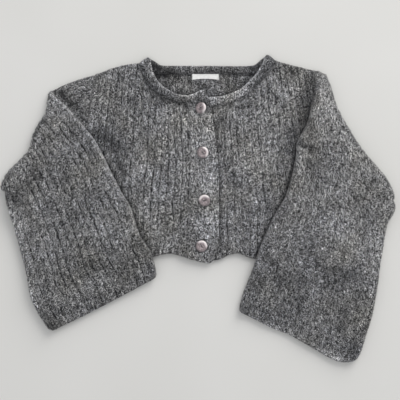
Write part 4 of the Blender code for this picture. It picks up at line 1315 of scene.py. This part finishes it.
class Nodes:
    """Short way to add and join the nodes of one material."""

    def __init__(self, name, **shader):
        self.material = bpy.data.materials.new(name)
        self.material.use_nodes = True
        self.tree = self.material.node_tree
        self.shader = self.tree.nodes["Principled BSDF"]
        for label, value in shader.items():
            self.shader.inputs[label.replace("_", " ")].default_value = value

    def add(self, kind, sockets, output=0, **settings):
        """A new node's output; each socket takes a value or another output."""
        node = self.tree.nodes.new(kind)
        for label, value in settings.items():
            setattr(node, label, value)
        for label, value in sockets.items():
            if isinstance(value, bpy.types.NodeSocket):
                self.tree.links.new(value, node.inputs[label])
            else:
                node.inputs[label].default_value = value
        return node.outputs[output]

    def join(self, value, label="Base Color"):
        self.tree.links.new(value, self.shader.inputs[label])

    def math(self, operation, *values, use_clamp=False):
        return self.add("ShaderNodeMath", dict(enumerate(values)), operation=operation, use_clamp=use_clamp)

    def vector(self, operation, *values, output="Value"):
        return self.add("ShaderNodeVectorMath", dict(enumerate(values)), output, operation=operation)

    def noise(self, place, scale, detail, roughness, distortion=0.0):
        return self.add("ShaderNodeTexNoise", {"Vector": place, "Scale": scale, "Detail": detail,
                                               "Roughness": roughness, "Distortion": distortion})

    def ramp(self, value, *stops):
        """Colour ramp through (place, colour) stops."""
        color = self.add("ShaderNodeValToRGB", {"Fac": value})
        elements = color.node.color_ramp.elements
        while len(elements) < len(stops):
            elements.new(0.5)
        for element, (place, tone) in zip(elements, stops):
            element.position = place
            element.color = (*tone, 1) if hasattr(tone, "__len__") else (tone, tone, tone, 1)
        return color

    def mix(self, kind, share, first, second):
        return self.add("ShaderNodeMix", {"Factor": share, 6: first, 7: second}, 2,
                        data_type="RGBA", blend_type=kind)

    def times(self, first, second):
        return self.mix("MULTIPLY", 1.0, first, second)

    def peaks(self, phase, shift, power):
        """Narrow peaks at whole phases, from 0 to 1."""
        wave = self.math("COSINE", self.math("MULTIPLY_ADD", phase, 2 * math.pi, 2 * math.pi * shift))
        return self.math("POWER", self.math("MULTIPLY_ADD", wave, 0.5, 0.5), power)

    def attribute(self, name, output="Fac"):
        return self.add("ShaderNodeAttribute", {}, output, attribute_name=name)

    def shaded(self, color):
        """A colour darkened by the mesh's painted shade, or lightened by painted light where that share is
        below zero.
        """
        shade = self.attribute("shade")
        dark = self.math("MAXIMUM", shade, 0.0)
        light = self.ramp(self.math("MULTIPLY", shade, -1.0), (0.0, 1.0), (1.0, 2.4))
        return self.times(self.mix("MIX", dark, color, (0.006, 0.006, 0.008, 1)), light)

    def object_place(self):
        return self.add("ShaderNodeTexCoord", {}, "Object")

    def stretched(self, place, angle, scale):
        """Place turned about Z and stretched along Y, for fibres that run one way."""
        return self.add("ShaderNodeMapping",
                        {"Vector": place, "Rotation": (0, 0, angle), "Scale": (1.0, scale, 1.0)})

    def bump(self, height, strength, distance):
        sockets = {"Height": height, "Strength": strength, "Distance": distance}
        self.join(self.add("ShaderNodeBump", sockets), "Normal")


def matted_fibres(wool, place, brightness):
    """Colour and height of matted wool: specks, straight strokes and broken curls over dark pits."""
    strokes = None
    for angle, scale in ((0.35, 560.0), (-0.55, 600.0), (1.25, 650.0)):
        stroke = wool.noise(wool.stretched(place, angle, 0.3), scale, 1.0, 0.5, 1.0)
        strokes = stroke if strokes is None else wool.math("MAXIMUM", strokes, stroke)
    speck = wool.noise(place, 560.0, 2.0, 0.65, 0.4)
    pits = wool.noise(place, 470.0, 2.0, 0.6, 0.6)
    color = wool.ramp(speck, (0.41, 0.005 * brightness), (0.5, 0.055 * brightness), (0.58, 0.29 * brightness))
    color = wool.mix("ADD", 1.0, color, wool.ramp(strokes, (0.6, 0.0), (0.67, 0.56 * brightness)))
    for angle, scale in ((0.2, 230.0), (1.1, 300.0)):
        curl = wool.noise(wool.stretched(place, angle, 0.62), scale, 1.0, 0.5, 1.4)
        curl = wool.math("ABSOLUTE", wool.math("SUBTRACT", curl, 0.5))
        curl = wool.ramp(curl, (0.0, 0.6 * brightness), (0.05, 0.0))
        broken = wool.ramp(wool.noise(place, 1.3 * scale, 1.0, 0.5), (0.46, 0.0), (0.56, 1.0))
        color = wool.mix("ADD", 1.0, color, wool.times(curl, broken))
    color = wool.times(color, wool.ramp(pits, (0.41, 0.05), (0.5, 1.0)))
    return color, wool.math("MULTIPLY_ADD", strokes, 0.8, pits)


def rib_tones(wool, place, color, phase, strength, groove_dark):
    """A colour with painted shade in broken grooves between the ribs and painted highlights on broken crests.
    """
    depth = wool.ramp(wool.noise(place, 54.0, 3.0, 0.65), (0.4, 0.12), (0.58, 1.0))
    groove = wool.math("MULTIPLY", wool.peaks(phase, 0.0, 6.0), wool.math("MULTIPLY", strength, groove_dark))
    groove = wool.math("MULTIPLY", groove, depth, use_clamp=True)
    color = wool.mix("MIX", groove, color, (0.01, 0.01, 0.012, 1))
    broken = wool.ramp(wool.noise(place, 60.0, 2.0, 0.6), (0.48, 0.0), (0.6, 0.55))
    # Painted highlight on the broken crests beside each groove
    crest = wool.math("MULTIPLY", wool.peaks(phase, -0.15, 26.0), strength)
    crest = wool.math("MULTIPLY", crest, broken, use_clamp=True)
    return wool.mix("MIX", crest, color, (0.42, 0.42, 0.44, 1))


def wool_material(name, brightness, groove_dark, painted_edge_light=1.0):
    """Felted melange wool: charcoal and pale fibres matted together, with painted shade down in the grooves.
    """
    wool = Nodes(name, Roughness=0.95, Sheen_Weight=0.3, Sheen_Roughness=0.5,
                 Sheen_Tint=(0.8, 0.81, 0.84, 1), Specular_IOR_Level=0.12)
    place = wool.object_place()
    split = wool.add("ShaderNodeSeparateXYZ", {0: wool.attribute("thread", "Vector")}).node
    phase, along, strength = split.outputs
    color, height = matted_fibres(wool, place, brightness)
    for noise, *stops in WOOL_TONES:
        color = wool.times(color, wool.ramp(wool.noise(place, *noise), *stops))
    color = rib_tones(wool, place, color, phase, strength, groove_dark)
    # Painted shade along the band's seam and painted highlight at its free edge, across the band
    if painted_edge_light > 1.0:
        edge = wool.ramp(along, (0.1, 0.6), (0.4, 1.0), (0.84, 1.0), (0.95, painted_edge_light))
        color = wool.times(color, edge)
    wool.join(wool.shaded(color))
    wool.bump(height, 0.8, 0.002)
    return wool.material


def fuzz_material():
    """Loose pale fibres, from nearly black to nearly white, carrying the painted shade and light of the cloth
    they start on.
    """
    fuzz = Nodes("loose fibres", Roughness=0.8, Sheen_Weight=0.2, Specular_IOR_Level=0.2)
    color = fuzz.ramp(fuzz.attribute("tone"), (0.0, 0.015), (0.35, 0.07), (0.75, 0.36), (1.0, 0.75))
    fuzz.join(fuzz.shaded(color))
    return fuzz.material


def pearl_material(name, centre, highlight_turn):
    """Smoky pink pearl with wavy layers under a glossy skin, and a painted highlight on its rim on one side.
    """
    pearl = Nodes(name, Roughness=0.35, Specular_IOR_Level=0.8, Coat_Weight=1.0,
                  Coat_Roughness=0.1, Coat_IOR=1.6)
    place = pearl.object_place()
    wave = pearl.noise(pearl.stretched(place, 0.6, 2.4), 170.0, 3.0, 0.55, 2.0)
    dish, rim = pearl.ramp(wave, *PEARL_DISH), pearl.ramp(wave, *PEARL_RIM)
    offset = pearl.vector("SUBTRACT", place, tuple(centre), output="Vector")
    # Painted highlight: the rim is mixed towards pale pink on the side turned towards the highlight
    pale = (math.cos(highlight_turn) / PEARL_RADIUS, math.sin(highlight_turn) / PEARL_RADIUS, 0.0)
    side = pearl.ramp(pearl.vector("DOT_PRODUCT", offset, pale), (0.08, 0.0), (0.5, 1.0))
    rim = pearl.mix("MIX", side, rim, (0.8, 0.73, 0.74, 1))
    radius = pearl.math("MULTIPLY", pearl.vector("LENGTH", offset), 1 / PEARL_RADIUS)
    pearl.join(pearl.mix("MIX", pearl.ramp(radius, (0.58, 0.0), (0.7, 1.0)), dish, rim))
    pearl.bump(wave, 0.12, 0.0004)
    return pearl.material


def thread_material(name, color):
    """Twisted sewing yarn, made once for each name."""
    if name in bpy.data.materials:
        return bpy.data.materials[name]
    yarn = Nodes(name, Roughness=0.8, Sheen_Weight=0.3)
    twist = yarn.noise(yarn.object_place(), 2200.0, 2.0, 0.6)
    low, high = tuple(0.6 * c for c in color), tuple(1.5 * c for c in color)
    yarn.join(yarn.ramp(twist, (0.35, low), (0.65, high)))
    yarn.bump(twist, 0.4, 0.0002)
    return yarn.material


def label_material():
    """White satin weave: fine raised threads across, with a slight uneven tone."""
    satin = Nodes("white woven satin", Roughness=0.55, Sheen_Weight=0.25, Specular_IOR_Level=0.4)
    place = satin.object_place()
    weft, warp = [satin.add("ShaderNodeTexWave", {"Vector": place, "Scale": scale, "Distortion": 0.6},
                            bands_direction=direction) for scale, direction in ((620.0, "Y"), (420.0, "X"))]
    tone = satin.noise(place, 300.0, 2.0, 0.5)
    satin.join(satin.ramp(tone, (0.3, (0.88, 0.88, 0.87)), (0.7, (0.97, 0.97, 0.96))))
    satin.bump(satin.math("ADD", weft, satin.math("MULTIPLY", warp, 0.5)), 0.25, 0.0003)
    return satin.material


def edge_share(grid):
    """One where a surface turns over at its edge and stands clear of the floor, zero elsewhere."""
    steep = np.clip(1.3 - 1.8 * np.abs(grid.normals()[..., 2]), 0.0, 1.0)
    return steep * (grid.points[..., 2] > 1.0)


def sleeve_seen(grid):
    """One where a sleeve's surface looks up or outwards, zero where it lies on something."""
    return np.clip(grid.normals()[..., 2] + 0.35, 0.0, 1.0)


def growths(name, grid):
    """How the fibres of a piece grow: (count, where, length, width, rise, grain)."""
    everywhere = np.ones(grid.points.shape[:2])
    if name == "back":
        neck = (np.abs(grid.points[..., 0]) < NECK_SEEN[0]) & (grid.points[..., 1] > NECK_SEEN[1])
        return [(2600, neck * 1.0, (3, 7), (0.16, 0.36), (0.1, 0.5), 0.35)]
    if name == "neck_band":
        return [(4200, everywhere, (2.5, 6), (0.14, 0.34), (0.1, 0.6), 0.3)]
    if name in SLEEVES:
        on_top = (15000, sleeve_seen(grid), (3, 10), (0.3, 0.75), (0.1, 1.0), 0.3)
        return [on_top, (2500, edge_share(grid), *EDGE_FIBRES)]
    on_top = (10500, everywhere, (3, 10), (0.3, 0.75), (0.1, 0.8), 0.5)
    return [on_top, (1500, edge_share(grid), *EDGE_FIBRES)]


def add_fuzz(name, grid, seed, material):
    """Loose fibres over one piece."""
    fibres = Fibres(grid, seed)
    for growth in growths(name, grid):
        fibres.grow(*growth)
    fuzz = ribbon_mesh(f"fuzz_{name}", fibres.ribbons)
    fuzz.data.materials.append(material)
    return fuzz


def knitted_piece(name):
    """The mesh of one cloth piece, and the grid of its outside."""
    if name == "neck_band":
        outer = band_grid()
        return capped_mesh("knit_neck_band", outer), outer
    if name in SLEEVES:
        outer, inner = sleeve_grids(name)
    else:
        outer, inner = back_grids() if name == "back" else front_grids(name)
    return wall_mesh(f"knit_{name}", outer, inner, INNER_STRIDE), outer


def add_garment():
    wool = wool_material("felted melange wool", brightness=0.86, groove_dark=1.0)
    band_wool = wool_material("felted band wool", brightness=0.74, groove_dark=0.0, painted_edge_light=1.6)
    loose = fuzz_material()
    for name, seed, flat, held, rests_on in KNITS:
        piece, outer = knitted_piece(name)
        fuzz = add_fuzz(name, outer, seed, loose)
        slot, material = ("band_wool", band_wool) if name == "neck_band" else ("melange_wool", wool)
        piece.data.materials.append(material)
        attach(piece, "root")
        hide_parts(name)
        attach(fuzz, "root")


def add_floor():
    mesh = bpy.data.meshes.new("pale_floor")
    corners = [(x * FLOOR_HALF, y * FLOOR_HALF, 0) for x, y in ((-1, -1), (1, -1), (1, 1), (-1, 1))]
    mesh.from_pydata(corners, [], [(0, 1, 2, 3)])
    floor = add_object("pale_floor", mesh)
    floor.location.z = -FLOOR_DROP
    pale = Nodes("pale floor", Roughness=0.7, Specular_IOR_Level=0.2)
    tone = pale.noise(pale.object_place(), 3.0, 2.0, 0.5)
    pale.join(pale.ramp(tone, (0.3, (0.76, 0.757, 0.735)), (0.7, (0.8, 0.797, 0.78))))
    mesh.materials.append(pale.material)


def add_light(name, place, size, energy, color):
    """Soft square light aimed at the middle of the garment."""
    data = bpy.data.lights.new(name, "AREA")
    data.size = size
    data.energy = energy
    data.color = color
    light = add_object(name, data)
    light.location = place
    light.rotation_euler = (-Vector(place)).to_track_quat("-Z", "Y").to_euler()


def add_camera():
    data = bpy.data.cameras.new("camera")
    data.sensor_width = CAMERA_SENSOR
    data.lens = CAMERA_LENS
    data.clip_start = 0.05
    camera = add_object("camera", data)
    centre = (np.array([*PICTURE_CENTRE, 0.0]) + SHIFT) * MM
    distance = PICTURE_WIDTH * MM * data.lens / data.sensor_width
    camera.location = (centre[0], centre[1], distance + CLOTH_HEIGHT * MM)
    bpy.context.scene.camera = camera


def add_studio():
    scene = bpy.context.scene
    scene.view_settings.view_transform = "Standard"
    scene.world = bpy.data.worlds.new("soft studio")
    scene.world.use_nodes = True
    background = scene.world.node_tree.nodes["Background"].inputs
    background["Color"].default_value = SKY_COLOR
    background["Strength"].default_value = SKY_STRENGTH
    add_light("window", WINDOW_PLACE, WINDOW_SIZE, WINDOW_WATTS, WINDOW_COLOR)


def main():
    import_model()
    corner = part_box("back")[0]
    SHIFT[:2] = corner[0] / MM - BACK_SIDE_X, corner[1] / MM - BACK_HEM_Y
    add_studio()
    add_camera()
    add_floor()
    add_garment()
    for index, place in enumerate(BUTTONS, 1):
        add_button(index, *place)
    add_label()


main()
